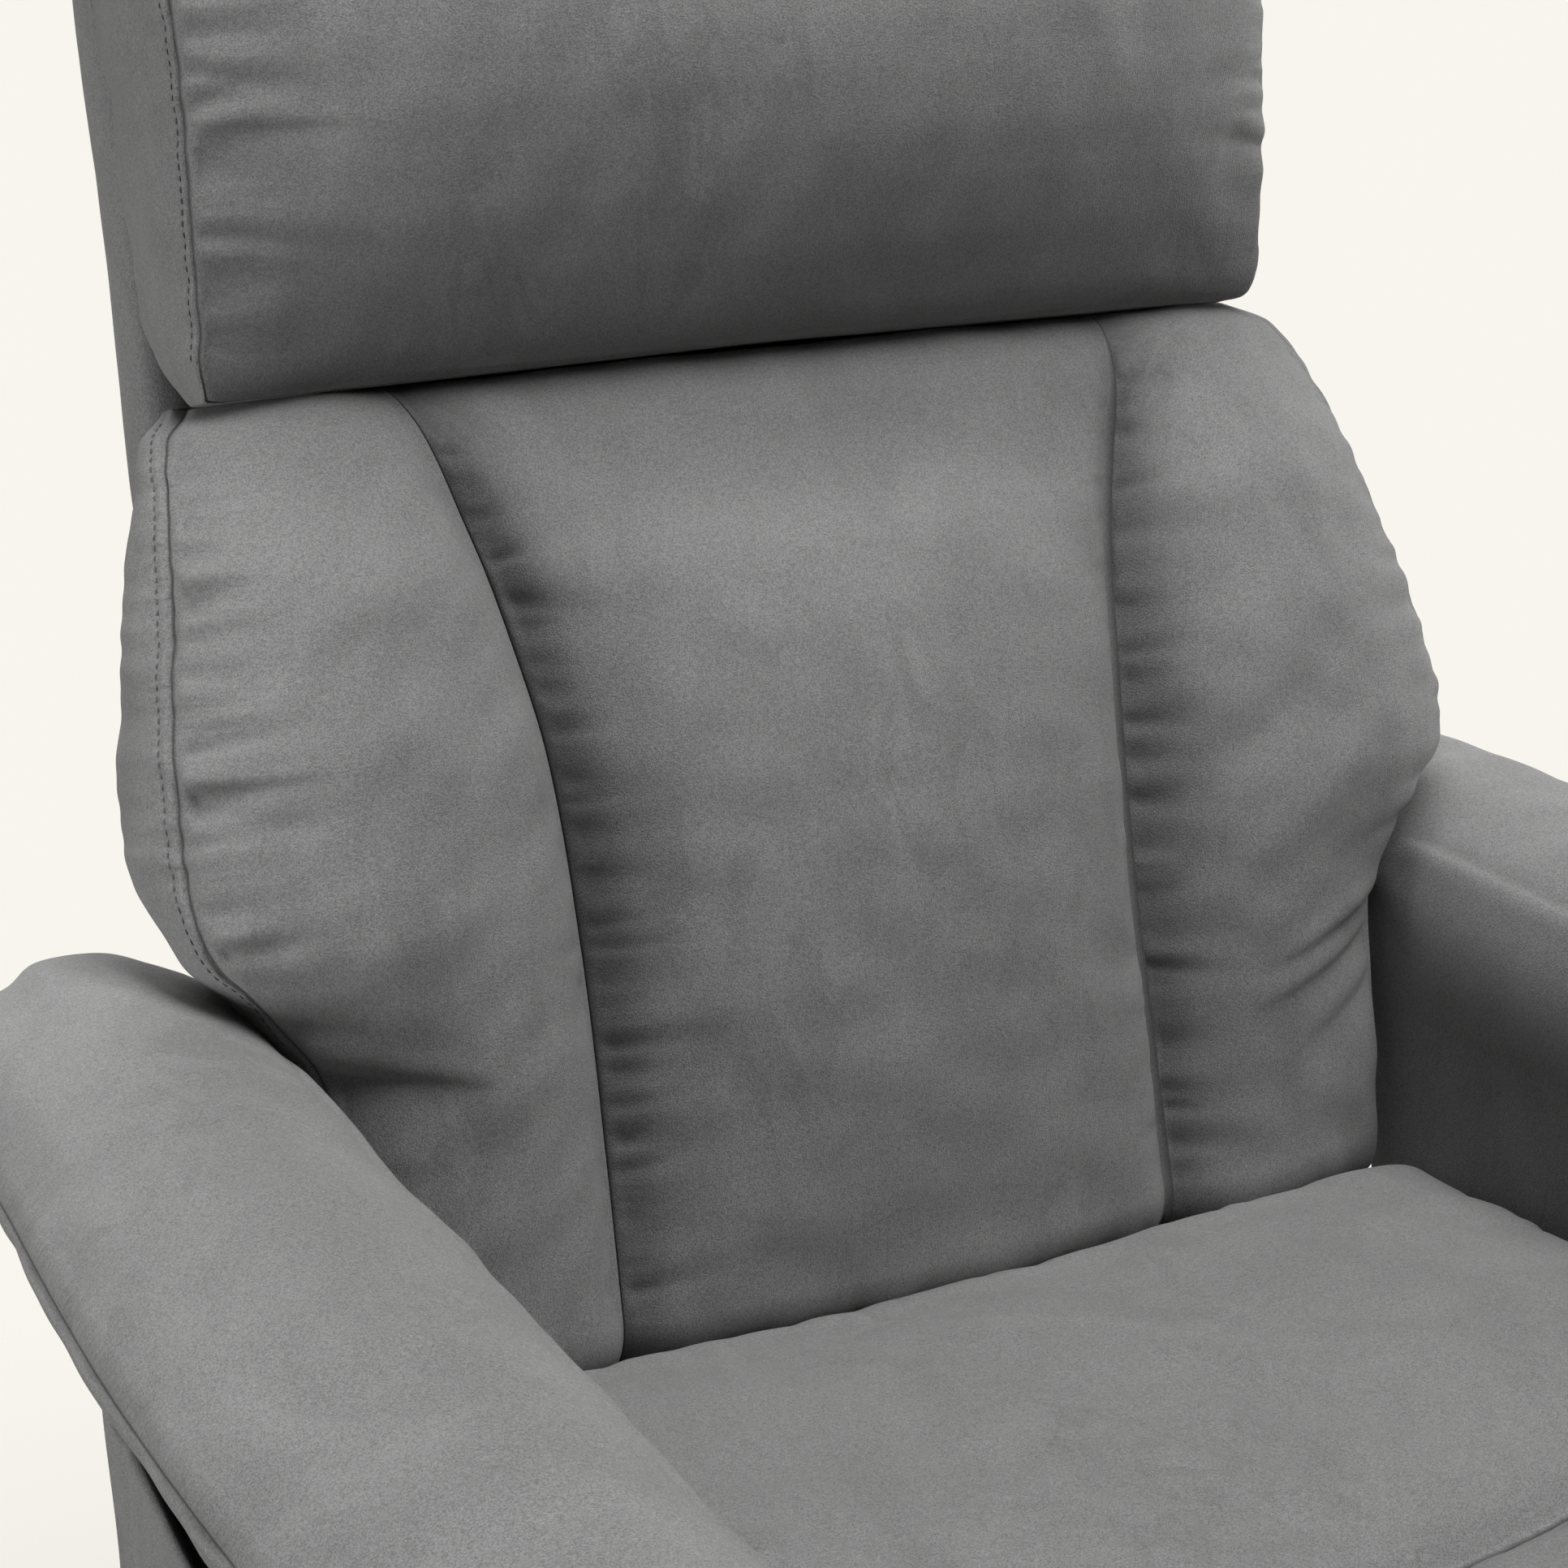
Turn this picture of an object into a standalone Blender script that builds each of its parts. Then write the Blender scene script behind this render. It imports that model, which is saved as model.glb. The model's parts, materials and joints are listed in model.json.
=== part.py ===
"""Swivel riser recliner: a padded wing back chair on a lift linkage, a swivel frame and a round base.

Metres, +Z up, the chair faces -Y. The origin lies on the floor, on the swivel axis.
A point of the side view is a pair (y, z). Left is -X, right is +X.
"""

import math

import bmesh
import bpy
from mathutils import Matrix, Vector

# Fits
GAP = 0.0003
PIN_CLEARANCE = 0.0004
LINK_GAP = 0.0025
SEAT_CLEARANCE = 0.003
TUCK_CLEARANCE = 0.005

# Round base and swivel bearing
FLOOR_PAD_RADIUS = 0.295
FLOOR_PAD_THICKNESS = 0.004
BASE_RADIUS = 0.310
BASE_PLATE_THICKNESS = 0.012
HUB_MARGIN = 0.010
HUB_RISE = 0.024
RACE_OUTER_RADIUS = 0.155
RACE_WIDTH = 0.035
RACE_THICKNESS = 0.008
RETAINER_THICKNESS = 0.006
BALL_COUNT = 16
BALL_RADIUS = 0.0039

# Swivel frame
TURNTABLE_THICKNESS = 0.006
TURNTABLE_HALF_LENGTH = 0.165
TURNTABLE_HOLE_RADIUS = 0.080
LOWER_TUBE = 0.030
TUBE_WALL = 0.002
FRAME_HALF_WIDTH = 0.210
LOWER_FRONT_Y = -0.250
LOWER_REAR_Y = 0.200
CONTROL_BOX_SIZE = (0.100, 0.054, 0.035)
INLET_SIZE = (0.034, 0.016, 0.022)

# Lift linkage, pivots in the side view
PLATE_THICKNESS = 0.007
LINK_THICKNESS = 0.007
ARM_THICKNESS = 0.008
STUD_RADIUS = 0.008
LIFT_FOOT_Y = -0.2064
LIFT_FOOT_RISE = 0.0255
CONTROL_FOOT_Y = -0.1610
CONTROL_FOOT_RISE = 0.0593
LIFT_HEAD_Y = 0.0823
LIFT_HEAD_DROP = 0.1208
CONTROL_HEAD_Y = 0.2143
CONTROL_HEAD_DROP = 0.0501
LIFT_TUBE_RADIUS = 0.014
LIFT_LEVER_OFFSET = (-0.0441, -0.0882)

# Chassis
RAIL_BOTTOM = 0.315
RAIL_WIDTH = 0.028
RAIL_HEIGHT = 0.025
RAIL_FRONT_Y = -0.275
RAIL_REAR_Y = 0.190
SPRING_RAIL_Y = 0.150
SPRING_RAIL_DEPTH = 0.020
SPRING_WIRE_RADIUS = 0.0018
SPRING_COLUMNS = 4
SPRING_SPACING = 0.090
SPRING_WAVES = 5
SPRING_WAVE_HALF_WIDTH = 0.022

# Motors
LIFT_MOTOR_Y = -0.140
LIFT_MOTOR_DROP = 0.018
BACK_MOTOR_Y = -0.200
BACK_MOTOR_DROP = 0.100
BACK_MOTOR_X = -0.075
BACK_STROKE = 0.045
MOTOR_TUBE_RADIUS = 0.0165
MOTOR_BORE_RADIUS = 0.0125
MOTOR_ROD_RADIUS = 0.008
MOTOR_CAN_RADIUS = 0.021
MOTOR_CAN_LENGTH = 0.110
EYE_RADIUS = 0.012
EYE_PIN_RADIUS = 0.0055

# Leg rest linkage
CRANK_Y = -0.050
CRANK_DROP = 0.030
CRANK_LENGTH = 0.155
CRANK_REST_ANGLE = math.radians(14)
GUIDE_OFFSET = (0.0441, -0.0276)
CARRIER_REACH = (-0.270, 0.090)
TILT_LEVER_LENGTH = 0.032
TILT_LEVER_ANGLE = math.radians(69)
DRIVE_TUBE_RADIUS = 0.010
LEG_PIN_RADIUS = 0.006
TILT_PIN_RADIUS = 0.0045
OPEN_PIVOT_CLEARANCE = 0.001
LEG_PAD_REST_TILT = math.radians(6)
LEG_PAD_INSET = 0.0225
LEG_PAD_HALF_HEIGHT = 0.112
LEG_PAD_DEPTH = 0.046
LEG_BOARD_THICKNESS = 0.012
LEG_BOARD_SETBACK = 0.012
LEG_BOARD_MARGIN = 0.008

# Seat
SEAT_BESIDE_RAIL = 0.0445
SEAT_FRONT_Y = -0.350
SEAT_REAR_Y = 0.185
SEAT_REAR_TOP = 0.450
SEAT_SLOPE = math.radians(3.8)
SEAT_CROWN = 0.014
SEAT_NOSE = 0.055
SEAT_SEAM_Y = -0.108
SEAT_SEAM_BOW = 0.84
SEAM_DEPTH = 0.012
SEAM_WIDTH = 0.014

# Arms
ARM_WIDTH = 0.1345
ARM_TOP = 0.631
ARM_FRONT_Y = -0.352
ARM_REAR_Y = 0.345
ARM_INNER_RADIUS = 0.034
ARM_OUTER_RADIUS = 0.040
ARM_ROLL_DROP = 0.020
ARM_BULGE = 0.0085
ARM_BULGE_Y = 0.020
ARM_BULGE_LENGTH = 0.160
ARM_SKIRT_BOTTOM = 0.365
ARM_FRAME_TOP = 0.4997
ARM_FRAME_BOTTOM = 0.114
ARM_FRAME_FRONT_Y = -0.315
ARM_FRAME_REAR_Y = 0.188
ARM_FOAM = 0.0142
ARM_FRAME_WIDTH = 0.061
ARM_WEB = 0.018
ARM_BATTEN = 0.036
SIDE_PANEL_THICKNESS = 0.015
SIDE_PANEL_CROWN = 0.006
SIDE_PANEL_WRAP = 0.012
SIDE_PANEL_CORNER = 0.010
SIDE_PANEL_EDGE = 0.003

# Back, in its own frame: origin on the hinge, y to the rear and z up along the leaning back
BACK_HINGE_Y = 0.225
BACK_HINGE_RISE = 0.045
BACK_LEAN = math.radians(16.5)
BACK_LEVER = (0.0195, -0.0650)
POST_WIDTH = 0.020
POST_DEPTH = 0.025
CUSHION_REAR = 0.0374
CUSHION_BOTTOM = 0.084
CUSHION_TOP = 0.487
CUSHION_END = 0.62
CENTRE_SEAM_DEPTH = -0.066
CENTRE_BOTTOM_HALF_WIDTH = 0.131
CENTRE_TOP_HALF_WIDTH = 0.162
CENTRE_FLARE_START = 0.300
CENTRE_CROWN = 0.034
WING_CROWN = 0.026
WING_GUSSET_LIFT = 0.040
# Height up the back, reach beyond the seat's edge and depth of the wing's outer seam
WING_REACH = (
    (0.084, -0.0065, -0.060),
    (0.222, -0.0045, -0.074),
    (0.282, 0.0365, -0.083),
    (0.330, 0.0370, -0.079),
    (0.416, 0.0225, -0.057),
    (0.487, 0.0080, -0.033),
)
HEADREST_INSET = 0.001
HEADREST_BOTTOM = 0.4905
HEADREST_OVER_SHELL = 0.007
HEADREST_CROWN = 0.042
SHELL_WALL = 0.0135
SHELL_BESIDE_RAIL = 0.030
SHELL_FLARE = 0.022
SHELL_FLARE_START = 0.250
SHELL_FLARE_END = 0.345
SHELL_TOP = 0.745
SHELL_OVER_POST = 0.045
SHELL_CORNER = 0.060
SHELL_TOP_CORNER = 0.035

# Radii of the swivel bearing
HUB_RADIUS = RACE_OUTER_RADIUS + HUB_MARGIN
RACE_INNER_RADIUS = RACE_OUTER_RADIUS - RACE_WIDTH

# Heights that stack up from the floor
BASE_TOP = FLOOR_PAD_THICKNESS + GAP + BASE_PLATE_THICKNESS
HUB_TOP = BASE_TOP + HUB_RISE
LOWER_RACE_Z = HUB_TOP + GAP
RETAINER_Z = LOWER_RACE_Z + RACE_THICKNESS + GAP
UPPER_RACE_Z = RETAINER_Z + RETAINER_THICKNESS + GAP
TURNTABLE_Z = UPPER_RACE_Z + RACE_THICKNESS + GAP
LOWER_FRAME_Z = TURNTABLE_Z + TURNTABLE_THICKNESS + GAP
LOWER_FRAME_TOP = LOWER_FRAME_Z + LOWER_TUBE
RAIL_TOP = RAIL_BOTTOM + RAIL_HEIGHT

# Planes across the chair, as distances from the middle
PLATE_IN = FRAME_HALF_WIDTH - PLATE_THICKNESS / 2
PLATE_OUT = FRAME_HALF_WIDTH + PLATE_THICKNESS / 2
LIFT_ARM_OUT = PLATE_IN - LINK_GAP
LIFT_ARM_IN = LIFT_ARM_OUT - ARM_THICKNESS
CONTROL_IN = PLATE_OUT + LINK_GAP
CONTROL_OUT = CONTROL_IN + LINK_THICKNESS
CRANK_OUT = LIFT_ARM_IN - 4 * LINK_GAP
CRANK_IN = CRANK_OUT - LINK_THICKNESS
CARRIER_OUT = CRANK_IN - LINK_GAP
CARRIER_IN = CARRIER_OUT - LINK_THICKNESS
TILT_OUT = CARRIER_IN - LINK_GAP
TILT_IN = TILT_OUT - LINK_THICKNESS
SEAT_HALF_WIDTH = FRAME_HALF_WIDTH + SEAT_BESIDE_RAIL
LEG_PAD_HALF_WIDTH = SEAT_HALF_WIDTH - LEG_PAD_INSET
SHELL_LOWER_HALF_WIDTH = FRAME_HALF_WIDTH + SHELL_BESIDE_RAIL
SHELL_UPPER_HALF_WIDTH = SHELL_LOWER_HALF_WIDTH + SHELL_FLARE
HEADREST_HALF_WIDTH = SHELL_UPPER_HALF_WIDTH - SHELL_WALL - HEADREST_INSET
POST_TOP = SHELL_TOP - SHELL_OVER_POST
HEADREST_TOP = SHELL_TOP + HEADREST_OVER_SHELL
WING_SEAM = [(z, SEAT_HALF_WIDTH + reach, depth) for z, reach, depth in WING_REACH]
ARM_INNER_X = SEAT_HALF_WIDTH + SEAT_CLEARANCE
ARM_OUTER_X = ARM_INNER_X + ARM_WIDTH
ARM_FRAME_IN = ARM_INNER_X + ARM_FOAM + GAP
ARM_FRAME_OUT = ARM_FRAME_IN + ARM_FRAME_WIDTH

# Pivots in the side view
LIFT_FOOT = Vector((LIFT_FOOT_Y, LOWER_FRAME_TOP + LIFT_FOOT_RISE))
CONTROL_FOOT = Vector((CONTROL_FOOT_Y, LOWER_FRAME_TOP + CONTROL_FOOT_RISE))
LIFT_HEAD = Vector((LIFT_HEAD_Y, RAIL_BOTTOM - LIFT_HEAD_DROP))
CONTROL_HEAD = Vector((CONTROL_HEAD_Y, RAIL_BOTTOM - CONTROL_HEAD_DROP))
LIFT_LEVER = LIFT_HEAD + Vector(LIFT_LEVER_OFFSET)
LIFT_MOTOR = Vector((LIFT_MOTOR_Y, RAIL_BOTTOM - LIFT_MOTOR_DROP))
BACK_MOTOR = Vector((BACK_MOTOR_Y, RAIL_BOTTOM - BACK_MOTOR_DROP))
BACK_HINGE = Vector((BACK_HINGE_Y, RAIL_BOTTOM + BACK_HINGE_RISE))
BACK_EYE = BACK_HINGE + Vector(BACK_LEVER)
CRANK = Vector((CRANK_Y, RAIL_BOTTOM - CRANK_DROP))
CRANK_ARM = CRANK_LENGTH * Vector((math.sin(CRANK_REST_ANGLE), -math.cos(CRANK_REST_ANGLE)))
CRANK_END = CRANK + CRANK_ARM
GUIDE = CRANK + Vector(GUIDE_OFFSET)
GUIDE_END = GUIDE + CRANK_ARM
LEG_HINGE = CRANK_END + Vector(CARRIER_REACH)
TILT_ARM = TILT_LEVER_LENGTH * Vector((math.cos(TILT_LEVER_ANGLE), -math.sin(TILT_LEVER_ANGLE)))
SEAT_BOTTOM = RAIL_TOP + 2 * GAP + 2 * SPRING_WIRE_RADIUS + GAP

SIDES = (("left", -1), ("right", 1))
POINT_OF = {}


def clear_scene():
    for obj in list(bpy.data.objects):
        bpy.data.objects.remove(obj, do_unlink=True)


def material(name, colour, roughness, metallic=0.0):
    made = bpy.data.materials.new(name)
    made.use_nodes = True
    made.diffuse_color = (*colour, 1.0)
    shader = made.node_tree.nodes["Principled BSDF"]
    shader.inputs["Base Color"].default_value = (*colour, 1.0)
    shader.inputs["Roughness"].default_value = roughness
    shader.inputs["Metallic"].default_value = metallic
    return made


def pivot(name, point, parent=None, tilt=0.0):
    """An empty on a joint's axis. A tilted one gives its pieces their own leaning frame."""
    empty = bpy.data.objects.new(name, None)
    empty.empty_display_size = 0.05
    bpy.context.scene.collection.objects.link(empty)
    at = Vector((0.0, *point)) if len(point) == 2 else Vector(point)
    empty.parent = parent
    empty.location = at - (POINT_OF[parent.name] if parent else Vector())
    empty.rotation_euler = (tilt, 0.0, 0.0)
    POINT_OF[name] = at
    return empty


def finish(name, bm, finish_material, carrier, own_frame=False):
    """Makes the node. Its points are the chair's unless they are in the carrier's own frame."""
    bmesh.ops.recalc_face_normals(bm, faces=bm.faces)
    if bm.calc_volume(signed=True) < 0:
        bmesh.ops.reverse_faces(bm, faces=bm.faces)
    if not own_frame:
        bmesh.ops.translate(bm, verts=bm.verts, vec=-POINT_OF[carrier.name])
    mesh = bpy.data.meshes.new(name)
    bm.to_mesh(mesh)
    bm.free()
    mesh.shade_smooth()
    mesh.set_sharp_from_angle(angle=math.radians(35))
    mesh.materials.append(finish_material)
    node = bpy.data.objects.new(name, mesh)
    bpy.context.scene.collection.objects.link(node)
    node.parent = carrier
    return node


def boolean(node, operation, bm, own_frame=False):
    """Joins or cuts a node with a hidden helper shape."""
    helper = finish(f"{node.name}_{operation.lower()}", bm, node.data.materials[0], node.parent, own_frame)
    helper.hide_render = True
    helper.display_type = "WIRE"
    modifier = node.modifiers.new(operation.title(), "BOOLEAN")
    modifier.operation = operation
    modifier.solver = "EXACT"
    modifier.object = helper


def bevel(node, width, segments=1):
    modifier = node.modifiers.new("Bevel", "BEVEL")
    modifier.width = width
    modifier.segments = segments
    modifier.limit_method = "ANGLE"


def circle(centre, radius, steps=16):
    """Points round a circle of the side view."""
    turn = 2 * math.pi / steps
    return [(centre[0] + radius * math.cos(k * turn), centre[1] + radius * math.sin(k * turn)) for k in range(steps)]


def hull(points):
    """The convex outline round points of a plane, by the monotone chain."""

    def chain(run):
        kept = []
        for p in run:
            while len(kept) > 1:
                a, b = kept[-2], kept[-1]
                if (b[0] - a[0]) * (p[1] - a[1]) - (b[1] - a[1]) * (p[0] - a[0]) > 1e-12:
                    break
                kept.pop()
            kept.append(p)
        return kept[:-1]

    points = sorted({(p[0], p[1]) for p in points})
    return chain(points) + chain(points[::-1])


def span(sign, near, far):
    return sorted((sign * near, sign * far))


def prism(bm, outline, low, high, axis="X"):
    """Extrudes a flat outline from low to high along an axis."""
    place = {
        "X": lambda p, s: (s, p[0], p[1]),
        "Y": lambda p, s: (p[0], s, p[1]),
        "Z": lambda p, s: (p[0], p[1], s),
    }[axis]
    ends = [[bm.verts.new(place(p, s)) for p in outline] for s in (low, high)]
    for end in ends:
        bm.faces.new(end)
    for k in range(len(outline)):
        after = (k + 1) % len(outline)
        bm.faces.new((ends[0][k], ends[0][after], ends[1][after], ends[1][k]))
    return bm


def box(bm, low, high):
    outline = [(low[0], low[1]), (high[0], low[1]), (high[0], high[1]), (low[0], high[1])]
    return prism(bm, outline, low[2], high[2], "Z")


def square_tube(bm, low, high, axis, wall):
    """A box along an axis, hollow from end to end."""
    along = "XYZ".index(axis)
    across = [k for k in range(3) if k != along]
    rings = []
    for inset in (0.0, wall):
        for s in (low[along], high[along]):
            ring = []
            for a, b in ((0, 0), (1, 0), (1, 1), (0, 1)):
                point = [0.0, 0.0, 0.0]
                point[along] = s
                point[across[0]] = (low, high)[a][across[0]] + (inset, -inset)[a]
                point[across[1]] = (low, high)[b][across[1]] + (inset, -inset)[b]
                ring.append(bm.verts.new(point))
            rings.append(ring)
    outer_low, outer_high, inner_low, inner_high = rings
    for first, second in (
        (outer_low, outer_high),
        (inner_high, inner_low),
        (inner_low, outer_low),
        (outer_high, inner_high),
    ):
        for k in range(4):
            bm.faces.new((first[k], first[(k + 1) % 4], second[(k + 1) % 4], second[k]))
    return bm


def turned(profile, steps):
    """Spins a profile of (radius, z) points about the swivel axis."""
    bm = bmesh.new()
    verts = [bm.verts.new((r, 0.0, z)) for r, z in profile]
    edges = [bm.edges.new(pair) for pair in zip(verts, verts[1:])]
    if profile[0][0] > 0:
        edges.append(bm.edges.new((verts[-1], verts[0])))
    bmesh.ops.spin(bm, geom=verts + edges, cent=(0, 0, 0), axis=(0, 0, 1), angle=2 * math.pi, steps=steps,
                   use_merge=True)
    bmesh.ops.remove_doubles(bm, verts=bm.verts, dist=1e-5)
    return bm


def loft(rings):
    """A closed skin through rings of equal count, capped at both ends."""
    bm = bmesh.new()
    made = [[bm.verts.new(point) for point in ring] for ring in rings]
    for first, second in zip(made, made[1:]):
        for k in range(len(first)):
            after = (k + 1) % len(first)
            bm.faces.new((first[k], first[after], second[after], second[k]))
    bm.faces.new(made[0])
    bm.faces.new(made[-1])
    return bm


def smooth(t):
    """Eases from 0 to 1."""
    t = min(max(t, 0.0), 1.0)
    return t * t * (3 - 2 * t)


def rounded_end(t, share):
    """1 along the middle, falling as a quarter ellipse over the given share at each end."""
    near = min(t, 1 - t) / share
    return 1.0 if near >= 1 else math.sqrt(max(0.0, 1 - (1 - near) ** 2))


def stations(low, high, count, share):
    """Places along a soft piece, closer together in its rounded ends."""
    ends = [share * (1 - math.cos(0.5 * math.pi * k / 3)) for k in range(1, 3)]
    middle = [share + (1 - 2 * share) * k / (count - 1) for k in range(count)]
    places = [0.0, *ends, *middle, *[1 - e for e in reversed(ends)], 1.0]
    return [(t, low + (high - low) * t) for t in places]


def through(points, height):
    """The smooth curve through a list of (height, a, b) points, read at a height."""
    if height <= points[0][0]:
        return points[0][1:]
    for low, high in zip(points, points[1:]):
        if height <= high[0]:
            ease = smooth((height - low[0]) / (high[0] - low[0]))
            return tuple(a + (b - a) * ease for a, b in zip(low[1:], high[1:]))
    return points[-1][1:]


def build_base(root, steel, race_steel, rubber):
    pad = turned([(0, FLOOR_PAD_THICKNESS), (FLOOR_PAD_RADIUS, FLOOR_PAD_THICKNESS), (FLOOR_PAD_RADIUS, 0), (0, 0)], 48)
    finish("floor_pad", pad, rubber, root)
    low = FLOOR_PAD_THICKNESS + GAP
    rim = BASE_PLATE_THICKNESS / 3
    plate = [
        (0, HUB_TOP),
        (HUB_RADIUS, HUB_TOP),
        (HUB_RADIUS + HUB_RISE, BASE_TOP + rim),
        (BASE_RADIUS - 4 * rim, BASE_TOP),
        (BASE_RADIUS - rim, BASE_TOP - rim),
        (BASE_RADIUS, BASE_TOP - 2 * rim),
        (BASE_RADIUS, low),
        (0, low),
    ]
    finish("base_plate", turned(plate, 48), steel, root)
    finish("lower_race", race(LOWER_RACE_Z, 1), race_steel, root)


def race(z, groove_side):
    """A flat ring with a shallow ball groove on its upper (1) or lower (-1) face."""
    middle = (RACE_INNER_RADIUS + RACE_OUTER_RADIUS) / 2
    groove = RETAINER_THICKNESS / 2
    top = z + RACE_THICKNESS
    grooved = top if groove_side > 0 else z
    dip = (middle, grooved - groove_side * groove / 2)
    edge = [(middle - groove, grooved), dip, (middle + groove, grooved)]
    corners = [(RACE_OUTER_RADIUS, top), (RACE_OUTER_RADIUS, z), (RACE_INNER_RADIUS, z), (RACE_INNER_RADIUS, top)]
    if groove_side > 0:
        return turned(edge + corners, 36)
    return turned(corners[:2] + edge[::-1] + corners[2:], 36)


def build_bearing(turning, race_steel, brass):
    """The ball retainer turns with the upper race. Its balls stand a little proud of the ring on both sides."""
    middle = (RACE_INNER_RADIUS + RACE_OUTER_RADIUS) / 2
    half = RETAINER_THICKNESS / 4
    wide = RETAINER_THICKNESS
    z = RETAINER_Z + RETAINER_THICKNESS / 2
    ring = [(middle + wide, z + half), (middle + wide, z - half), (middle - wide, z - half), (middle - wide, z + half)]
    retainer = finish("ball_retainer", turned(ring, 36), brass, turning)
    balls = bmesh.new()
    for k in range(BALL_COUNT):
        turn = 2 * math.pi * (k + 0.5) / BALL_COUNT
        at = Matrix.Translation((middle * math.cos(turn), middle * math.sin(turn), z))
        bmesh.ops.create_icosphere(balls, subdivisions=1, radius=BALL_RADIUS, matrix=at)
    boolean(retainer, "UNION", balls)
    finish("upper_race", race(UPPER_RACE_Z, -1), race_steel, turning)


def build_swivel_frame(turning, steel, plastic):
    half = LOWER_TUBE / 2
    corner = LOWER_TUBE
    wide = FRAME_HALF_WIDTH + half
    outline = hull([
        p
        for x in (-wide + corner, wide - corner)
        for y in (-TURNTABLE_HALF_LENGTH + corner, TURNTABLE_HALF_LENGTH - corner)
        for p in circle((x, y), corner, 12)
    ])
    table = finish("turntable_plate", prism(bmesh.new(), outline, TURNTABLE_Z, TURNTABLE_Z + TURNTABLE_THICKNESS, "Z"),
                   steel, turning)
    holes = prism(bmesh.new(), circle((0, 0), TURNTABLE_HOLE_RADIUS, 32), TURNTABLE_Z - half, LOWER_FRAME_TOP, "Z")
    boolean(table, "DIFFERENCE", holes)
    for side, sign in SIDES:
        near, far = span(sign, FRAME_HALF_WIDTH - half, FRAME_HALF_WIDTH + half)
        rail = square_tube(bmesh.new(), (near, LOWER_FRONT_Y, LOWER_FRAME_Z), (far, LOWER_REAR_Y, LOWER_FRAME_TOP),
                           "Y", TUBE_WALL)
        finish(f"lower_rail_{side}", rail, steel, turning)
        build_lift_bracket(side, sign, turning, steel)
    reach = FRAME_HALF_WIDTH - half - GAP
    for name, y in (("lower_front_tube", LOWER_FRONT_Y), ("lower_rear_tube", LOWER_REAR_Y - LOWER_TUBE)):
        tube = square_tube(bmesh.new(), (-reach, y, LOWER_FRAME_Z), (reach, y + LOWER_TUBE, LOWER_FRAME_TOP), "X",
                           TUBE_WALL)
        finish(name, tube, steel, turning)
    build_controls(turning, plastic)


def build_lift_bracket(side, sign, turning, steel):
    """A plate on the lower rail with the bores of the lift arm and of the control link."""
    seat_z = LOWER_FRAME_TOP + GAP
    lobe = 2.2 * STUD_RADIUS
    foot = [(LIFT_FOOT[0] - 2 * lobe, seat_z), (CONTROL_FOOT[0] + 2 * lobe, seat_z)]
    outline = hull(foot + circle(LIFT_FOOT, lobe) + circle(CONTROL_FOOT, lobe))
    outline = [p for p in outline if p[1] >= seat_z - 1e-9]
    near, far = span(sign, PLATE_IN, PLATE_OUT)
    node = finish(f"lift_bracket_{side}", prism(bmesh.new(), outline, near, far), steel, turning)
    cut_bores(node, sign, [(LIFT_FOOT, STUD_RADIUS), (CONTROL_FOOT, STUD_RADIUS)], PLATE_IN, PLATE_OUT)


def cut_bores(node, sign, bores, near, far, own_frame=False):
    """Bores along X through the plate that lies from near to far, each wider than its stud by the pin clearance."""
    cutter = bmesh.new()
    low, high = span(sign, near - LINK_GAP / 2, far + LINK_GAP / 2)
    for centre, radius in bores:
        prism(cutter, circle(centre, radius + PIN_CLEARANCE), low, high)
    boolean(node, "DIFFERENCE", cutter, own_frame)


def add_studs(node, sign, studs, own_frame=False):
    """Round studs along X fixed to a link: (centre, radius, near, far)."""
    shape = bmesh.new()
    for centre, radius, near, far in studs:
        low, high = span(sign, near, far)
        prism(shape, circle(centre, radius), low, high)
    boolean(node, "UNION", shape, own_frame)


def build_controls(turning, plastic):
    """The control box on the rear tube, with the mains inlet recessed into its rear face."""
    wide, deep, tall = CONTROL_BOX_SIZE
    z = LOWER_FRAME_TOP + GAP
    rear = LOWER_REAR_Y + GAP
    near = (FRAME_HALF_WIDTH - wide) / 2
    node = finish("control_box", box(bmesh.new(), (near, rear - deep, z), (near + wide, rear, z + tall)), plastic,
                  turning)
    bevel(node, tall / 10, 2)
    inlet_wide, inlet_deep, inlet_tall = INLET_SIZE
    low = Vector((near + (wide - inlet_wide) / 2, rear - inlet_deep, z + (tall - inlet_tall) / 2))
    boolean(node, "DIFFERENCE", box(bmesh.new(), low, low + Vector((inlet_wide, 2 * inlet_deep, inlet_tall))))


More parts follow.
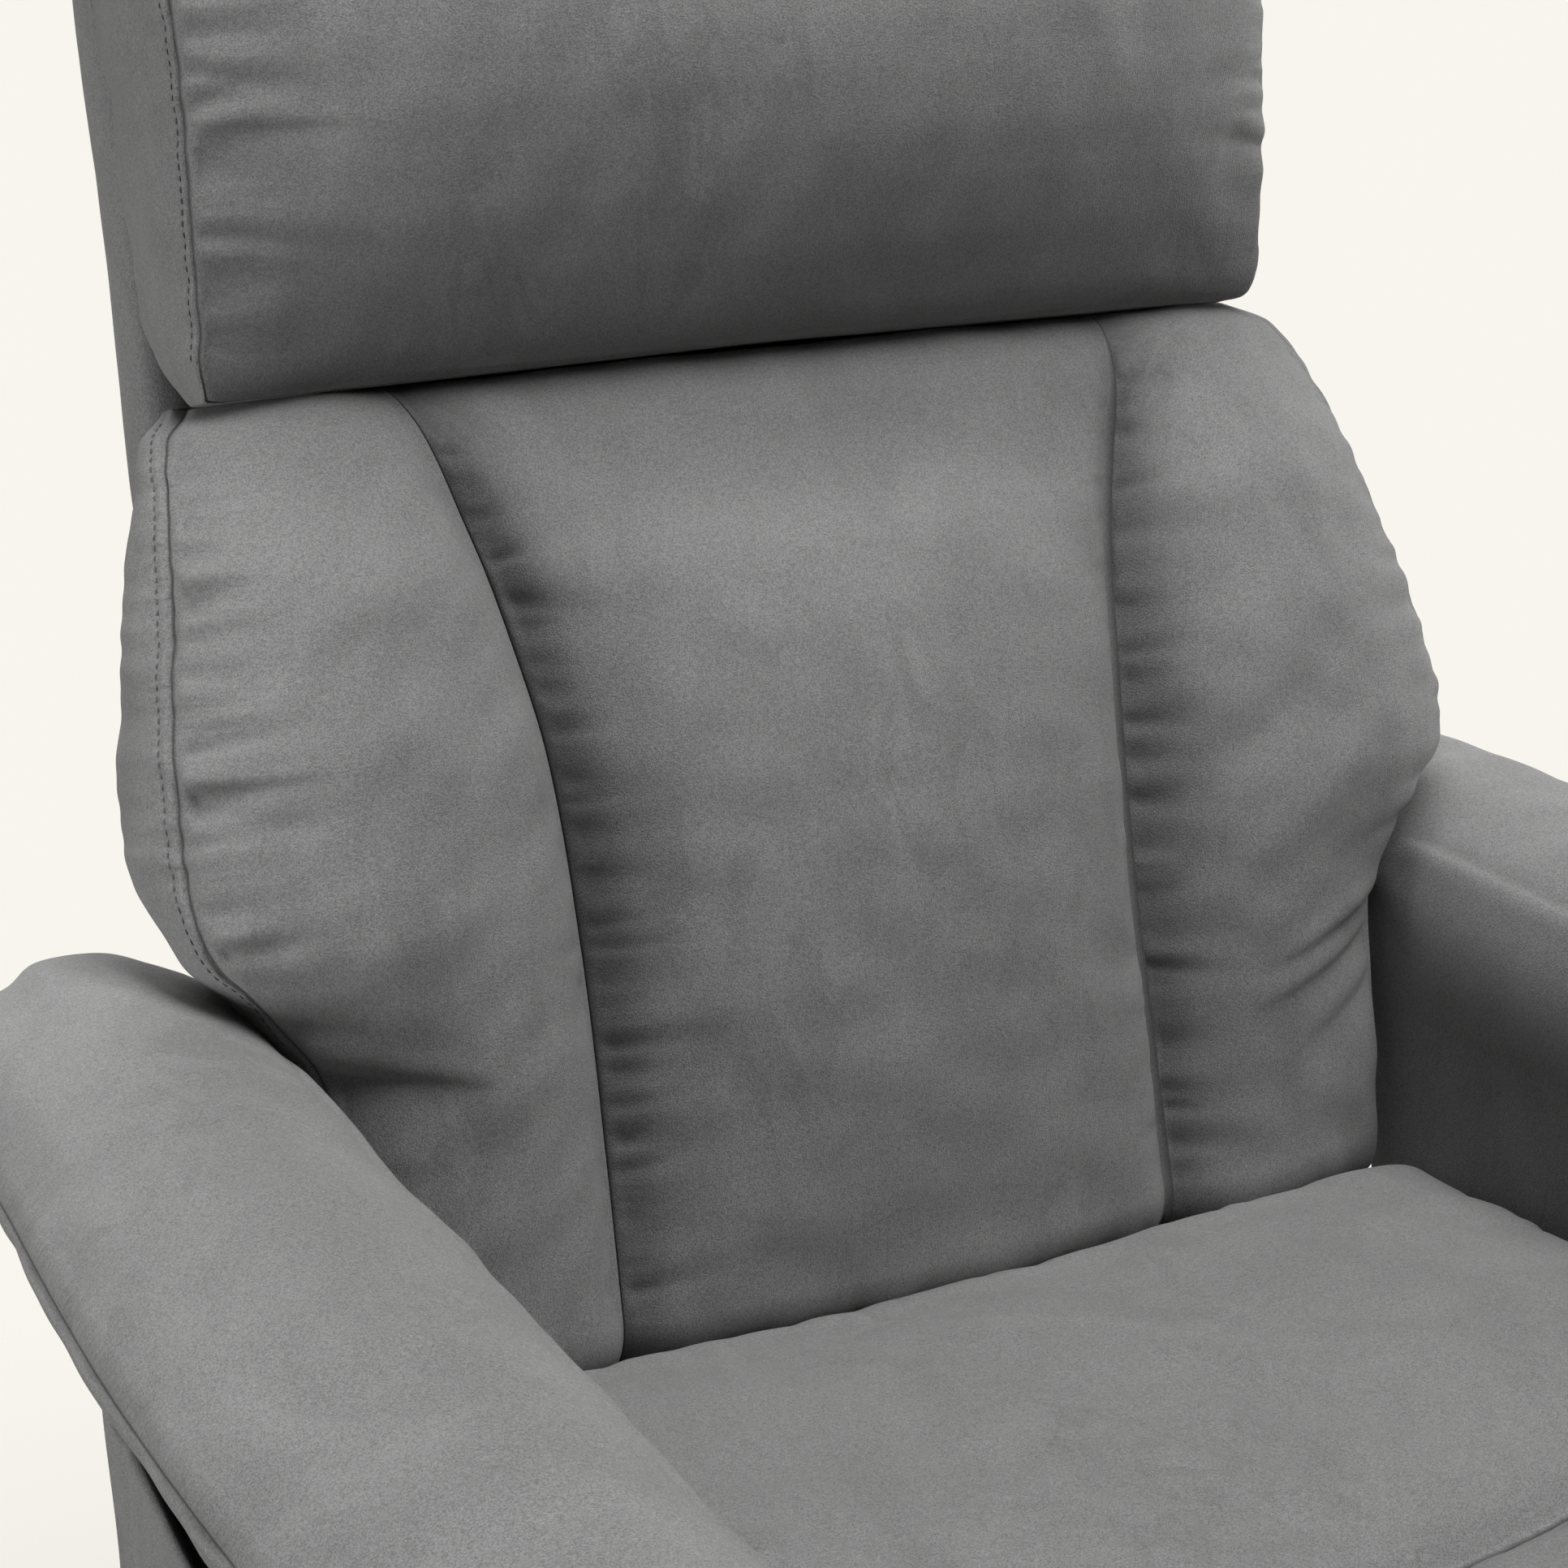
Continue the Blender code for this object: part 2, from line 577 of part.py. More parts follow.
def build_lift_arms(arms, steel):
    for side, sign in SIDES:
        near, far = span(sign, LIFT_ARM_IN, LIFT_ARM_OUT)
        outline = hull(circle(LIFT_FOOT, 2 * STUD_RADIUS) + circle(LIFT_HEAD, 2.4 * STUD_RADIUS))
        node = finish(f"lift_arm_{side}", prism(bmesh.new(), outline, near, far), steel, arms)
        inside = LIFT_ARM_OUT - ARM_THICKNESS / 2
        add_studs(node, sign, [(LIFT_FOOT, STUD_RADIUS, inside, PLATE_OUT), (LIFT_HEAD, STUD_RADIUS, inside, PLATE_OUT)])
        along = LIFT_HEAD - LIFT_FOOT
        slot = hull(circle(LIFT_FOOT + 0.25 * along, 0.8 * STUD_RADIUS) + circle(LIFT_HEAD - 0.3 * along, STUD_RADIUS))
        low, high = span(sign, LIFT_ARM_IN - LINK_GAP, LIFT_ARM_OUT + LINK_GAP)
        boolean(node, "DIFFERENCE", prism(bmesh.new(), slot, low, high))
    reach = LIFT_ARM_IN - GAP
    tube = finish("lift_cross_tube", prism(bmesh.new(), circle(LIFT_HEAD, LIFT_TUBE_RADIUS), -reach, reach), steel, arms)
    lever = hull(circle(LIFT_HEAD, 0.9 * LIFT_TUBE_RADIUS) + circle(LIFT_LEVER, EYE_RADIUS))
    half = EYE_RADIUS / 2 - 2 * GAP
    boolean(tube, "UNION", prism(bmesh.new(), lever, -half, half))
    eye = circle(LIFT_LEVER, EYE_PIN_RADIUS + PIN_CLEARANCE)
    boolean(tube, "DIFFERENCE", prism(bmesh.new(), eye, -EYE_RADIUS, EYE_RADIUS))


def build_control_links(links, steel):
    """The control links lie outside the plates. Their upper pivot is the linkage's open one."""
    for side, sign in SIDES:
        near, far = span(sign, CONTROL_IN, CONTROL_OUT)
        outline = hull(circle(CONTROL_FOOT, 1.6 * STUD_RADIUS) + circle(CONTROL_HEAD, 1.6 * STUD_RADIUS))
        node = finish(f"control_link_{side}", prism(bmesh.new(), outline, near, far), steel, links)
        inside = CONTROL_IN + LINK_THICKNESS / 2
        add_studs(node, sign, [
            (CONTROL_FOOT, STUD_RADIUS, PLATE_IN + GAP, inside),
            (CONTROL_HEAD, STUD_RADIUS - OPEN_PIVOT_CLEARANCE, PLATE_IN + GAP, inside),
        ])


def build_motor(name, axis, shortest, can_side, plastic):
    """A linear motor in its own frame: a rear eye at the origin, then gear case, motor can and tube along +y."""
    eye = hull(circle((0, 0), EYE_RADIUS) + circle((3 * EYE_RADIUS, 0), EYE_RADIUS))
    half = EYE_RADIUS / 2
    node = finish(name, prism(bmesh.new(), eye, -half, half), plastic, axis, True)
    case_low = 2 * EYE_RADIUS
    case_high = case_low + 3 * MOTOR_TUBE_RADIUS
    can_x = can_side * (MOTOR_TUBE_RADIUS + MOTOR_CAN_RADIUS + 2 * EYE_RADIUS / 3)
    case_wide = sorted((-can_side * 1.3 * MOTOR_TUBE_RADIUS, can_x + can_side * MOTOR_CAN_RADIUS))
    tall = 1.4 * MOTOR_TUBE_RADIUS
    case = box(bmesh.new(), (case_wide[0], case_low, -tall), (case_wide[1], case_high, tall))
    boolean(node, "UNION", case, True)
    inner = case_low + MOTOR_TUBE_RADIUS
    tube_end = shortest - 4 * EYE_RADIUS
    boolean(node, "UNION", prism(bmesh.new(), circle((0, 0), MOTOR_TUBE_RADIUS), inner, tube_end, "Y"), True)
    can = prism(bmesh.new(), circle((can_x, 0), MOTOR_CAN_RADIUS), inner, inner + MOTOR_CAN_LENGTH, "Y")
    boolean(node, "UNION", can, True)
    pin = prism(bmesh.new(), circle((0, 0), EYE_PIN_RADIUS), -EYE_RADIUS, EYE_RADIUS)
    boolean(node, "UNION", pin, True)
    bore = prism(bmesh.new(), circle((0, 0), MOTOR_BORE_RADIUS), case_high, tube_end + EYE_RADIUS, "Y")
    boolean(node, "DIFFERENCE", bore, True)


def build_rod(name, axis, shortest, steel):
    """A motor's rod in its own frame: a fork round the lever's eye at the origin, and the rod back along -y."""
    case_high = 2 * EYE_RADIUS + 3 * MOTOR_TUBE_RADIUS
    length = shortest - case_high - EYE_RADIUS
    root = -3.4 * EYE_RADIUS
    front = -2.4 * EYE_RADIUS
    tall = 0.7 * EYE_RADIUS
    node = finish(name, prism(bmesh.new(), circle((0, 0), MOTOR_ROD_RADIUS), -length, front - EYE_RADIUS / 4, "Y"), steel,
                  axis, True)
    half = EYE_RADIUS / 2
    block = box(bmesh.new(), (-2 * half, root, -tall), (2 * half, front, tall))
    boolean(node, "UNION", block, True)
    cheek = hull(circle((0, 0), 0.98 * EYE_RADIUS) + [(front - half, -half), (front - half, half)])
    cheeks = bmesh.new()
    for sign in (-1, 1):
        low, high = span(sign, half, 1.9 * half)
        prism(cheeks, cheek, low, high)
    boolean(node, "UNION", cheeks, True)
    boolean(node, "UNION", prism(bmesh.new(), circle((0, 0), EYE_PIN_RADIUS), -1.5 * half, 1.5 * half), True)


def build_chassis(chassis, steel):
    half = RAIL_WIDTH / 2
    for side, sign in SIDES:
        near, far = span(sign, FRAME_HALF_WIDTH - half, FRAME_HALF_WIDTH + half)
        rail = square_tube(bmesh.new(), (near, RAIL_FRONT_Y, RAIL_BOTTOM), (far, RAIL_REAR_Y, RAIL_TOP), "Y", TUBE_WALL)
        finish(f"side_rail_{side}", rail, steel, chassis)
        build_side_plate(side, sign, chassis, steel)
    reach = FRAME_HALF_WIDTH - half - GAP
    low = (-reach, SPRING_RAIL_Y - SPRING_RAIL_DEPTH / 2, RAIL_BOTTOM + 2 * TUBE_WALL)
    high = (reach, SPRING_RAIL_Y + SPRING_RAIL_DEPTH / 2, RAIL_TOP)
    finish("rear_spring_rail", square_tube(bmesh.new(), low, high, "X", TUBE_WALL), steel, chassis)
    build_front_rail(chassis, steel)


def build_side_plate(side, sign, chassis, steel):
    """The plate under the side rail that carries both lift pivots, the leg rest's axes and the back hinge."""
    lobe = 2.5 * STUD_RADIUS
    top = RAIL_BOTTOM - GAP
    body = [(CRANK[0] - lobe, top), (RAIL_REAR_Y, top)]
    for centre in (CRANK, GUIDE):
        body += circle(centre, 2 * STUD_RADIUS)
    for centre in (LIFT_HEAD, CONTROL_HEAD):
        body += circle(centre, lobe)
    near, far = span(sign, PLATE_IN, PLATE_OUT)
    outline = hull([p for p in body if p[1] <= top])
    node = finish(f"side_plate_{side}", prism(bmesh.new(), outline, near, far), steel, chassis)
    ear = hull(circle(CONTROL_HEAD, 0.98 * lobe) + circle(BACK_HINGE, lobe))
    boolean(node, "UNION", prism(bmesh.new(), ear, *span(sign, PLATE_IN + GAP, PLATE_OUT - GAP)))
    bores = [(CRANK, DRIVE_TUBE_RADIUS), (GUIDE, LEG_PIN_RADIUS), (LIFT_HEAD, STUD_RADIUS)]
    bores += [(CONTROL_HEAD, STUD_RADIUS), (BACK_HINGE, STUD_RADIUS)]
    middle = (LIFT_HEAD + CONTROL_HEAD) / 2
    window = Vector((middle[0] - lobe / 2, (middle[1] + RAIL_BOTTOM) / 2))
    cut_bores(node, sign, bores + [(window, 0.9 * lobe)], PLATE_IN, PLATE_OUT)


def build_front_rail(chassis, steel):
    """The rail across the front, with a pair of hanger plates for each motor's rear eye."""
    front = RAIL_FRONT_Y - GAP - RAIL_HEIGHT
    reach = ARM_FRAME_IN - GAP
    rail = box(bmesh.new(), (-reach, front, RAIL_BOTTOM), (reach, RAIL_FRONT_Y - GAP, RAIL_TOP))
    node = finish("front_rail", rail, steel, chassis)
    hangers = bmesh.new()
    pins = bmesh.new()
    inner = EYE_RADIUS / 2 + 2 * GAP
    for x, centre in ((0.0, LIFT_MOTOR), (BACK_MOTOR_X, BACK_MOTOR)):
        root = [(front + RAIL_HEIGHT / 4, RAIL_BOTTOM + RAIL_HEIGHT / 5)]
        root += [(front + 3 * RAIL_HEIGHT / 4, RAIL_BOTTOM + RAIL_HEIGHT / 5)]
        root += [(front + 3 * RAIL_HEIGHT / 4, RAIL_TOP - RAIL_HEIGHT / 5)]
        outline = hull(root + circle(centre, 1.1 * EYE_RADIUS))
        for sign in (-1, 1):
            low, high = span(sign, inner, 1.9 * inner)
            prism(hangers, outline, x + low, x + high)
        prism(pins, circle(centre, EYE_PIN_RADIUS + PIN_CLEARANCE), x - 3 * inner, x + 3 * inner)
    boolean(node, "UNION", hangers)
    boolean(node, "DIFFERENCE", pins)


def build_spring(chassis, wire):
    """One zigzag wire that runs to and fro between the rear spring rail and the front rail."""
    z = RAIL_TOP + GAP + SPRING_WIRE_RADIUS
    rear = SPRING_RAIL_Y
    front = RAIL_FRONT_Y - RAIL_HEIGHT / 2
    steps = 6 * SPRING_WAVES
    path = []
    for column in range(SPRING_COLUMNS):
        middle = (column - (SPRING_COLUMNS - 1) / 2) * SPRING_SPACING
        for k in range(steps + 1):
            x = middle + SPRING_WAVE_HALF_WIDTH * math.sin(2 * math.pi * SPRING_WAVES * k / steps)
            forward = k / steps if column % 2 == 0 else 1 - k / steps
            path.append(Vector((x, rear + (front - rear) * forward, z)) - POINT_OF[chassis.name])
    curve = bpy.data.curves.new("seat_spring", "CURVE")
    curve.dimensions = "3D"
    curve.bevel_depth = SPRING_WIRE_RADIUS
    curve.bevel_resolution = 0
    curve.use_fill_caps = True
    spline = curve.splines.new("POLY")
    spline.points.add(len(path) - 1)
    for point, at in zip(spline.points, path):
        point.co = (*at, 1.0)
    curve.materials.append(wire)
    node = bpy.data.objects.new(curve.name, curve)
    bpy.context.scene.collection.objects.link(node)
    node.parent = chassis


def build_leg_linkage(axes, chassis, steel, plastic):
    """Two parallel cranks a side carry a bar that keeps its slope. A tilt rod beside it turns the pad with the crank."""
    reach = PLATE_OUT - GAP
    tube = prism(bmesh.new(), circle(CRANK, DRIVE_TUBE_RADIUS), -reach, reach)
    finish("leg_drive_tube", tube, steel, axes["crank"])
    tilt_eye = CRANK_END + TILT_ARM
    for side, sign in SIDES:
        near, far = span(sign, CRANK_IN, CRANK_OUT)
        inside = CRANK_IN + LINK_THICKNESS / 2
        plate = hull(circle(CRANK, 1.8 * DRIVE_TUBE_RADIUS) + circle(CRANK_END, 2.2 * LEG_PIN_RADIUS)
                     + circle(tilt_eye, 2.2 * TILT_PIN_RADIUS))
        crank = finish(f"leg_crank_{side}", prism(bmesh.new(), plate, near, far), steel, axes["crank"])
        add_studs(crank, sign, [(CRANK_END, LEG_PIN_RADIUS, CARRIER_IN, inside), (tilt_eye, TILT_PIN_RADIUS, TILT_IN, inside)])
        cut_bores(crank, sign, [(CRANK, DRIVE_TUBE_RADIUS)], CRANK_IN, CRANK_OUT)
        plate = hull(circle(GUIDE, 2 * LEG_PIN_RADIUS) + circle(GUIDE_END, 2 * LEG_PIN_RADIUS))
        guide = finish(f"leg_guide_{side}", prism(bmesh.new(), plate, near, far), steel, axes["guide"])
        add_studs(guide, sign, [(GUIDE, LEG_PIN_RADIUS, inside, PLATE_OUT), (GUIDE_END, LEG_PIN_RADIUS, CARRIER_IN, inside)])
        near, far = span(sign, CARRIER_IN, CARRIER_OUT)
        lobe = 1.85 * LEG_PIN_RADIUS
        bar = hull(circle(CRANK_END, lobe) + circle(LEG_HINGE, lobe))
        carrier = finish(f"leg_carrier_{side}", prism(bmesh.new(), bar, near, far), steel, axes["carrier"])
        tail = hull(circle(CRANK_END, 0.98 * lobe) + circle(GUIDE_END, lobe))
        boolean(carrier, "UNION", prism(bmesh.new(), tail, near + GAP, far - GAP))
        pins = [(GUIDE_END, LEG_PIN_RADIUS), (CRANK_END, LEG_PIN_RADIUS), (LEG_HINGE, LEG_PIN_RADIUS)]
        cut_bores(carrier, sign, pins, CARRIER_IN, CARRIER_OUT)
        near, far = span(sign, TILT_IN, TILT_OUT)
        pad_eye = LEG_HINGE + TILT_ARM
        lobe = 2.1 * TILT_PIN_RADIUS
        bar = hull(circle(tilt_eye, lobe) + circle(pad_eye, lobe))
        rod = finish(f"leg_tilt_rod_{side}", prism(bmesh.new(), bar, near, far), steel, axes["tilt"])
        eyes = [(tilt_eye, TILT_PIN_RADIUS), (pad_eye, TILT_PIN_RADIUS + OPEN_PIVOT_CLEARANCE)]
        cut_bores(rod, sign, eyes, TILT_IN, TILT_OUT)
    build_gear_motor(chassis, plastic)


def build_gear_motor(chassis, plastic):
    """The geared motor round the leg rest's drive tube: a case with its bore, and a can below."""
    high_x = TILT_IN - LINK_GAP
    low_x = 0.7 * high_x
    reach = 2.4 * DRIVE_TUBE_RADIUS
    case = hull(circle(CRANK, reach) + circle(CRANK + Vector((-3 * DRIVE_TUBE_RADIUS, -DRIVE_TUBE_RADIUS)), reach))
    node = finish("leg_gear_motor", prism(bmesh.new(), case, low_x, high_x), plastic, chassis)
    can = circle(CRANK + Vector((-3 * DRIVE_TUBE_RADIUS, -DRIVE_TUBE_RADIUS)), 0.85 * MOTOR_CAN_RADIUS)
    boolean(node, "UNION", prism(bmesh.new(), can, 0.58 * high_x, low_x + LINK_GAP))
    bore = circle(CRANK, DRIVE_TUBE_RADIUS + PIN_CLEARANCE)
    boolean(node, "DIFFERENCE", prism(bmesh.new(), bore, low_x - MOTOR_CAN_RADIUS, high_x + MOTOR_CAN_RADIUS))


def build_leg_pad(axis, steel, wood, fabric):
    """The leg rest in its own frame: origin on its hinge, the board and the cushion in front, upright at rest."""
    back = -LEG_BOARD_SETBACK
    tilt_local = Matrix.Rotation(-LEG_PAD_REST_TILT, 2) @ TILT_ARM
    for side, sign in SIDES:
        near, far = span(sign, CRANK_IN, CRANK_OUT)
        inside = CRANK_IN + LINK_THICKNESS / 2
        foot = [(back + GAP, -LEG_PAD_HALF_HEIGHT / 2), (back + GAP, LEG_PAD_HALF_HEIGHT / 2)]
        outline = hull(foot + circle((GAP, 0), LEG_BOARD_SETBACK - 2 * GAP) + circle(tilt_local, 2.2 * TILT_PIN_RADIUS))
        node = finish(f"leg_bracket_{side}", prism(bmesh.new(), outline, near, far), steel, axis, True)
        add_studs(node, sign, [((0, 0), LEG_PIN_RADIUS, CARRIER_IN, inside), (tilt_local, TILT_PIN_RADIUS, TILT_IN, inside)],
                  True)
    tall = LEG_PAD_HALF_HEIGHT - LEG_BOARD_MARGIN
    wide = LEG_PAD_HALF_WIDTH - LEG_BOARD_MARGIN
    front = back - LEG_BOARD_THICKNESS
    corner = LEG_BOARD_MARGIN * 2
    outline = hull([
        p
        for x in (-wide + corner, wide - corner)
        for z in (-tall + corner, tall - corner)
        for p in circle((x, z), corner, 12)
    ])
    finish("leg_rest_board", prism(bmesh.new(), outline, front, back, "Y"), wood, axis, True)
    rings = []
    for t, x in stations(-LEG_PAD_HALF_WIDTH, LEG_PAD_HALF_WIDTH, 7, 0.08):
        full = 0.72 + 0.28 * rounded_end(t, 0.08)
        crown = LEG_PAD_DEPTH * full * (0.82 + 0.18 * math.sin(math.pi * t))
        high = LEG_PAD_HALF_HEIGHT * (0.95 + 0.05 * rounded_end(t, 0.08)) - 0.004 * math.sin(math.pi * t)
        rear = front - GAP
        ring = [(x, rear, -high), (x, rear, high)]
        for k in range(9):
            turn = math.pi * k / 8
            bulge = crown * math.sin(turn) ** 0.6
            ring.append((x, rear - 0.3 * crown - 0.7 * bulge, high * math.cos(turn)))
        rings.append(ring)
    finish("leg_rest_cushion", loft(rings), fabric, axis, True)


def seat_top(x, y, off_seam):
    """Height of the seat: a rising plane with a crown across, and a channel where the cross seam runs."""
    plane = SEAT_REAR_TOP + (SEAT_REAR_Y - y) * math.tan(SEAT_SLOPE)
    crown = SEAT_CROWN * (1 - (x / SEAT_HALF_WIDTH) ** 2)
    return plane + crown - SEAM_DEPTH * math.exp(-((off_seam / SEAM_WIDTH) ** 2))


def build_seat(chassis, fabric):
    """The seat, lofted from the rear to the nose. Its stations bow with the cross seam in the middle of their run."""
    columns = [-0.97, -0.88, -0.66, -0.44, -0.22, 0.0, 0.22, 0.44, 0.66, 0.88, 0.97]
    rear_round = 0.25 * SEAT_NOSE
    nose_start = SEAT_FRONT_Y + SEAT_NOSE
    places = [SEAT_REAR_Y, SEAT_REAR_Y - 0.3 * rear_round]
    behind = SEAT_REAR_Y - rear_round - SEAT_SEAM_Y - 2 * SEAM_WIDTH
    places += [SEAT_REAR_Y - rear_round - behind * k / 7 for k in range(8)]
    places += [SEAT_SEAM_Y + SEAM_WIDTH * step for step in (0.9, 0.0, -0.9, -2.0)]
    ahead = SEAT_SEAM_Y - 2 * SEAM_WIDTH - nose_start
    places += [nose_start + ahead * k / 4 for k in (3, 2, 1)]
    places += [nose_start - SEAT_NOSE * math.sin(0.5 * math.pi * k / 4) for k in range(5)]
    rings = []
    for y in places:
        nose = min(max(0.0, (nose_start - y) / SEAT_NOSE), 0.999)
        rear = max(0.0, 1 - (SEAT_REAR_Y - y) / rear_round)
        fall = 1 - math.sqrt(1 - nose ** 2)
        drop = 0.7 * SEAT_NOSE * fall + 0.5 * rear_round * rear
        low = SEAT_BOTTOM + 0.45 * SEAT_NOSE * fall
        drawn = 0.004 * math.sin(math.pi * (SEAT_REAR_Y - y) / (SEAT_REAR_Y - SEAT_FRONT_Y))
        wide = SEAT_HALF_WIDTH - drawn - 0.2 * SEAT_NOSE * fall - 0.3 * rear_round * rear
        follow = smooth((SEAT_REAR_Y - y) / behind) * smooth((y - SEAT_FRONT_Y) / (SEAT_SEAM_Y - SEAT_FRONT_Y))
        bow = SEAT_SEAM_BOW * wide * wide * follow
        off = y - SEAT_SEAM_Y
        side = seat_top(SEAT_HALF_WIDTH, y, off) - drop
        ring = [(-0.98 * wide, y, low), (-wide, y, low + 0.02), (-wide, y + bow, side - 0.022)]
        for c in columns:
            edge = 0.008 if abs(c) > 0.9 else 0.0
            ring.append((c * wide, y + bow * c * c, seat_top(c * wide, y, off) - drop - edge))
        ring += [(wide, y + bow, side - 0.022), (wide, y, low + 0.02), (0.98 * wide, y, low)]
        rings.append(ring)
    finish("seat_cushion", loft(rings), fabric, chassis)


def arm_section(y):
    """Section of the right arm at a station: a roll over the arm frame, with a skirt down its inner face."""
    back = smooth((y - ARM_FRAME_REAR_Y) / (2 * ARM_OUTER_RADIUS))
    over = max(0.0, (y - (ARM_REAR_Y - 2 * ARM_OUTER_RADIUS)) / (2 * ARM_OUTER_RADIUS))
    top = ARM_TOP - 0.5 * ARM_OUTER_RADIUS * over ** 2
    inner = ARM_INNER_X + 0.004 * over
    bulge = math.exp(-((y - ARM_BULGE_Y) / ARM_BULGE_LENGTH) ** 2)
    outer = ARM_OUTER_X - ARM_BULGE * (1 - bulge) - 0.012 * over
    shoulder = top - 0.008
    seat_z = ARM_FRAME_TOP + GAP
    skirt = ARM_SKIRT_BOTTOM + (seat_z - 0.012 - ARM_SKIRT_BOTTOM) * back
    under = ARM_TOP - ARM_OUTER_RADIUS - ARM_ROLL_DROP
    points = [(inner, skirt), (inner, 0.5 * (skirt + shoulder)), (inner, shoulder - ARM_INNER_RADIUS)]
    for degrees in (150, 120, 90):
        turn = math.radians(degrees)
        x = inner + ARM_INNER_RADIUS * (1 + math.cos(turn))
        points.append((x, shoulder - ARM_INNER_RADIUS * (1 - math.sin(turn))))
    points.append((0.42 * inner + 0.58 * outer, top))
    for degrees in (75, 42, 10):
        turn = math.radians(degrees)
        x = outer - ARM_OUTER_RADIUS * (1 - math.cos(turn))
        points.append((x, shoulder - ARM_OUTER_RADIUS * (1 - math.sin(turn))))
    points.append((outer, under + 0.012))
    points.append((outer - 0.006, under))
    points.append((ARM_FRAME_OUT + SIDE_PANEL_THICKNESS, under - 0.002))
    points.append((ARM_FRAME_OUT, under - 0.002))
    points.append((ARM_FRAME_OUT, seat_z))
    points.append((ARM_FRAME_IN - GAP, seat_z))
    points.append((ARM_FRAME_IN - GAP, skirt))
    return points


def build_arm_pad(side, sign, chassis, fabric):
    rings = []
    ends = (0.008, 0.022)
    middle = [ARM_FRONT_Y + ends[1] + (ARM_REAR_Y - ARM_FRONT_Y - 2 * ends[1]) * k / 12 for k in range(13)]
    places = [ARM_FRONT_Y, ARM_FRONT_Y + ends[0], *middle, ARM_REAR_Y - ends[0], ARM_REAR_Y]
    for y in places:
        near = min(y - ARM_FRONT_Y, ARM_REAR_Y - y)
        inset = ends[1] * (1 - math.sqrt(max(0.0, 1 - (1 - min(near / ends[1], 1.0)) ** 2)))
        section = arm_section(y)
        centre = (0.5 * (ARM_INNER_X + ARM_OUTER_X), ARM_TOP - 1.6 * ARM_OUTER_RADIUS)
        ring = []
        for x, z in section:
            dx, dz = centre[0] - x, centre[1] - z
            far = math.hypot(dx, dz)
            pull = min(0.55 * inset, 0.4 * far) / far
            ring.append((sign * (x + dx * pull), y, z + dz * pull))
        rings.append(ring)
    finish(f"arm_pad_{side}", loft(rings), fabric, chassis)


def build_arm_frame(side, sign, chassis, wood):
    """A plywood web with a batten along its top and bottom, and a cleat on the side rail."""
    web = ARM_FRAME_IN + ARM_WEB
    outline = [
        (ARM_FRAME_IN, ARM_FRAME_BOTTOM),
        (ARM_FRAME_OUT, ARM_FRAME_BOTTOM),
        (ARM_FRAME_OUT, ARM_FRAME_BOTTOM + ARM_BATTEN),
        (web, ARM_FRAME_BOTTOM + ARM_BATTEN),
        (web, ARM_FRAME_TOP - ARM_BATTEN),
        (ARM_FRAME_OUT, ARM_FRAME_TOP - ARM_BATTEN),
        (ARM_FRAME_OUT, ARM_FRAME_TOP),
        (ARM_FRAME_IN, ARM_FRAME_TOP),
    ]
    outline = [(sign * x, z) for x, z in outline]
    frame = prism(bmesh.new(), outline, ARM_FRAME_FRONT_Y, ARM_FRAME_REAR_Y, "Y")
    node = finish(f"arm_frame_{side}", frame, wood, chassis)
    low, high = span(sign, FRAME_HALF_WIDTH + RAIL_WIDTH / 2 + GAP, ARM_FRAME_IN + ARM_WEB / 2)
    cleat_front = RAIL_FRONT_Y + 2 * RAIL_WIDTH
    cleat_rear = RAIL_REAR_Y - 2 * RAIL_WIDTH
    inset = RAIL_HEIGHT / 8
    cleat = box(bmesh.new(), (low, cleat_front, RAIL_BOTTOM + inset), (high, cleat_rear, RAIL_TOP - inset))
    boolean(node, "UNION", cleat)


def build_side_panel(side, sign, chassis, fabric):
    """The upholstered panel outside the arm frame. It wraps round the frame's front and rear, and ends at its top."""
    low_z = ARM_FRAME_BOTTOM
    high_z = ARM_FRAME_TOP - GAP
    wrap = SIDE_PANEL_WRAP
    corner = SIDE_PANEL_CORNER
    outer = ARM_FRAME_OUT + SIDE_PANEL_THICKNESS
    inner = ARM_FRAME_OUT + GAP
    front = ARM_FRAME_FRONT_Y - GAP
    rear = ARM_FRAME_REAR_Y + GAP
    half = [(ARM_FRAME_IN, front - wrap), (inner, front - wrap), (outer - corner, front - wrap)]
    half += [(outer - 0.3 * corner, front - wrap + 0.3 * corner), (outer, front - wrap + corner)]
    length = rear - front
    along = [(outer, front + length * t) for t in (0.12, 0.37, 0.63, 0.88)]
    mirrored = [(x, rear + front - y) for x, y in reversed(half)]
    inside = [(ARM_FRAME_IN, rear), (inner, rear), (inner, front), (ARM_FRAME_IN, front)]
    rings = []
    for s in (0.0, 0.02, 0.12, 0.35, 0.65, 0.88, 0.98, 1.0):
        pull = SIDE_PANEL_EDGE if s in (0.0, 1.0) else 0.0
        z = low_z + (high_z - low_z) * s
        ring = []
        for x, y in half + along + mirrored:
            t = (y - front) / length
            bulge = SIDE_PANEL_CROWN * math.sin(math.pi * s) * math.sin(math.pi * min(max(t, 0.0), 1.0))
            drawn = pull if x > inner else 0.0
            ring.append((x + bulge - drawn, y, z))
        ring += [(x, y, z) for x, y in inside]
        rings.append([(sign * x, y, z) for x, y, z in ring])
    finish(f"side_panel_{side}", loft(rings), fabric, chassis)


def centre_half_width(z):
    flare = smooth((z - CENTRE_FLARE_START) / (CUSHION_TOP - CENTRE_FLARE_START))
    return CENTRE_BOTTOM_HALF_WIDTH + (CENTRE_TOP_HALF_WIDTH - CENTRE_BOTTOM_HALF_WIDTH) * flare


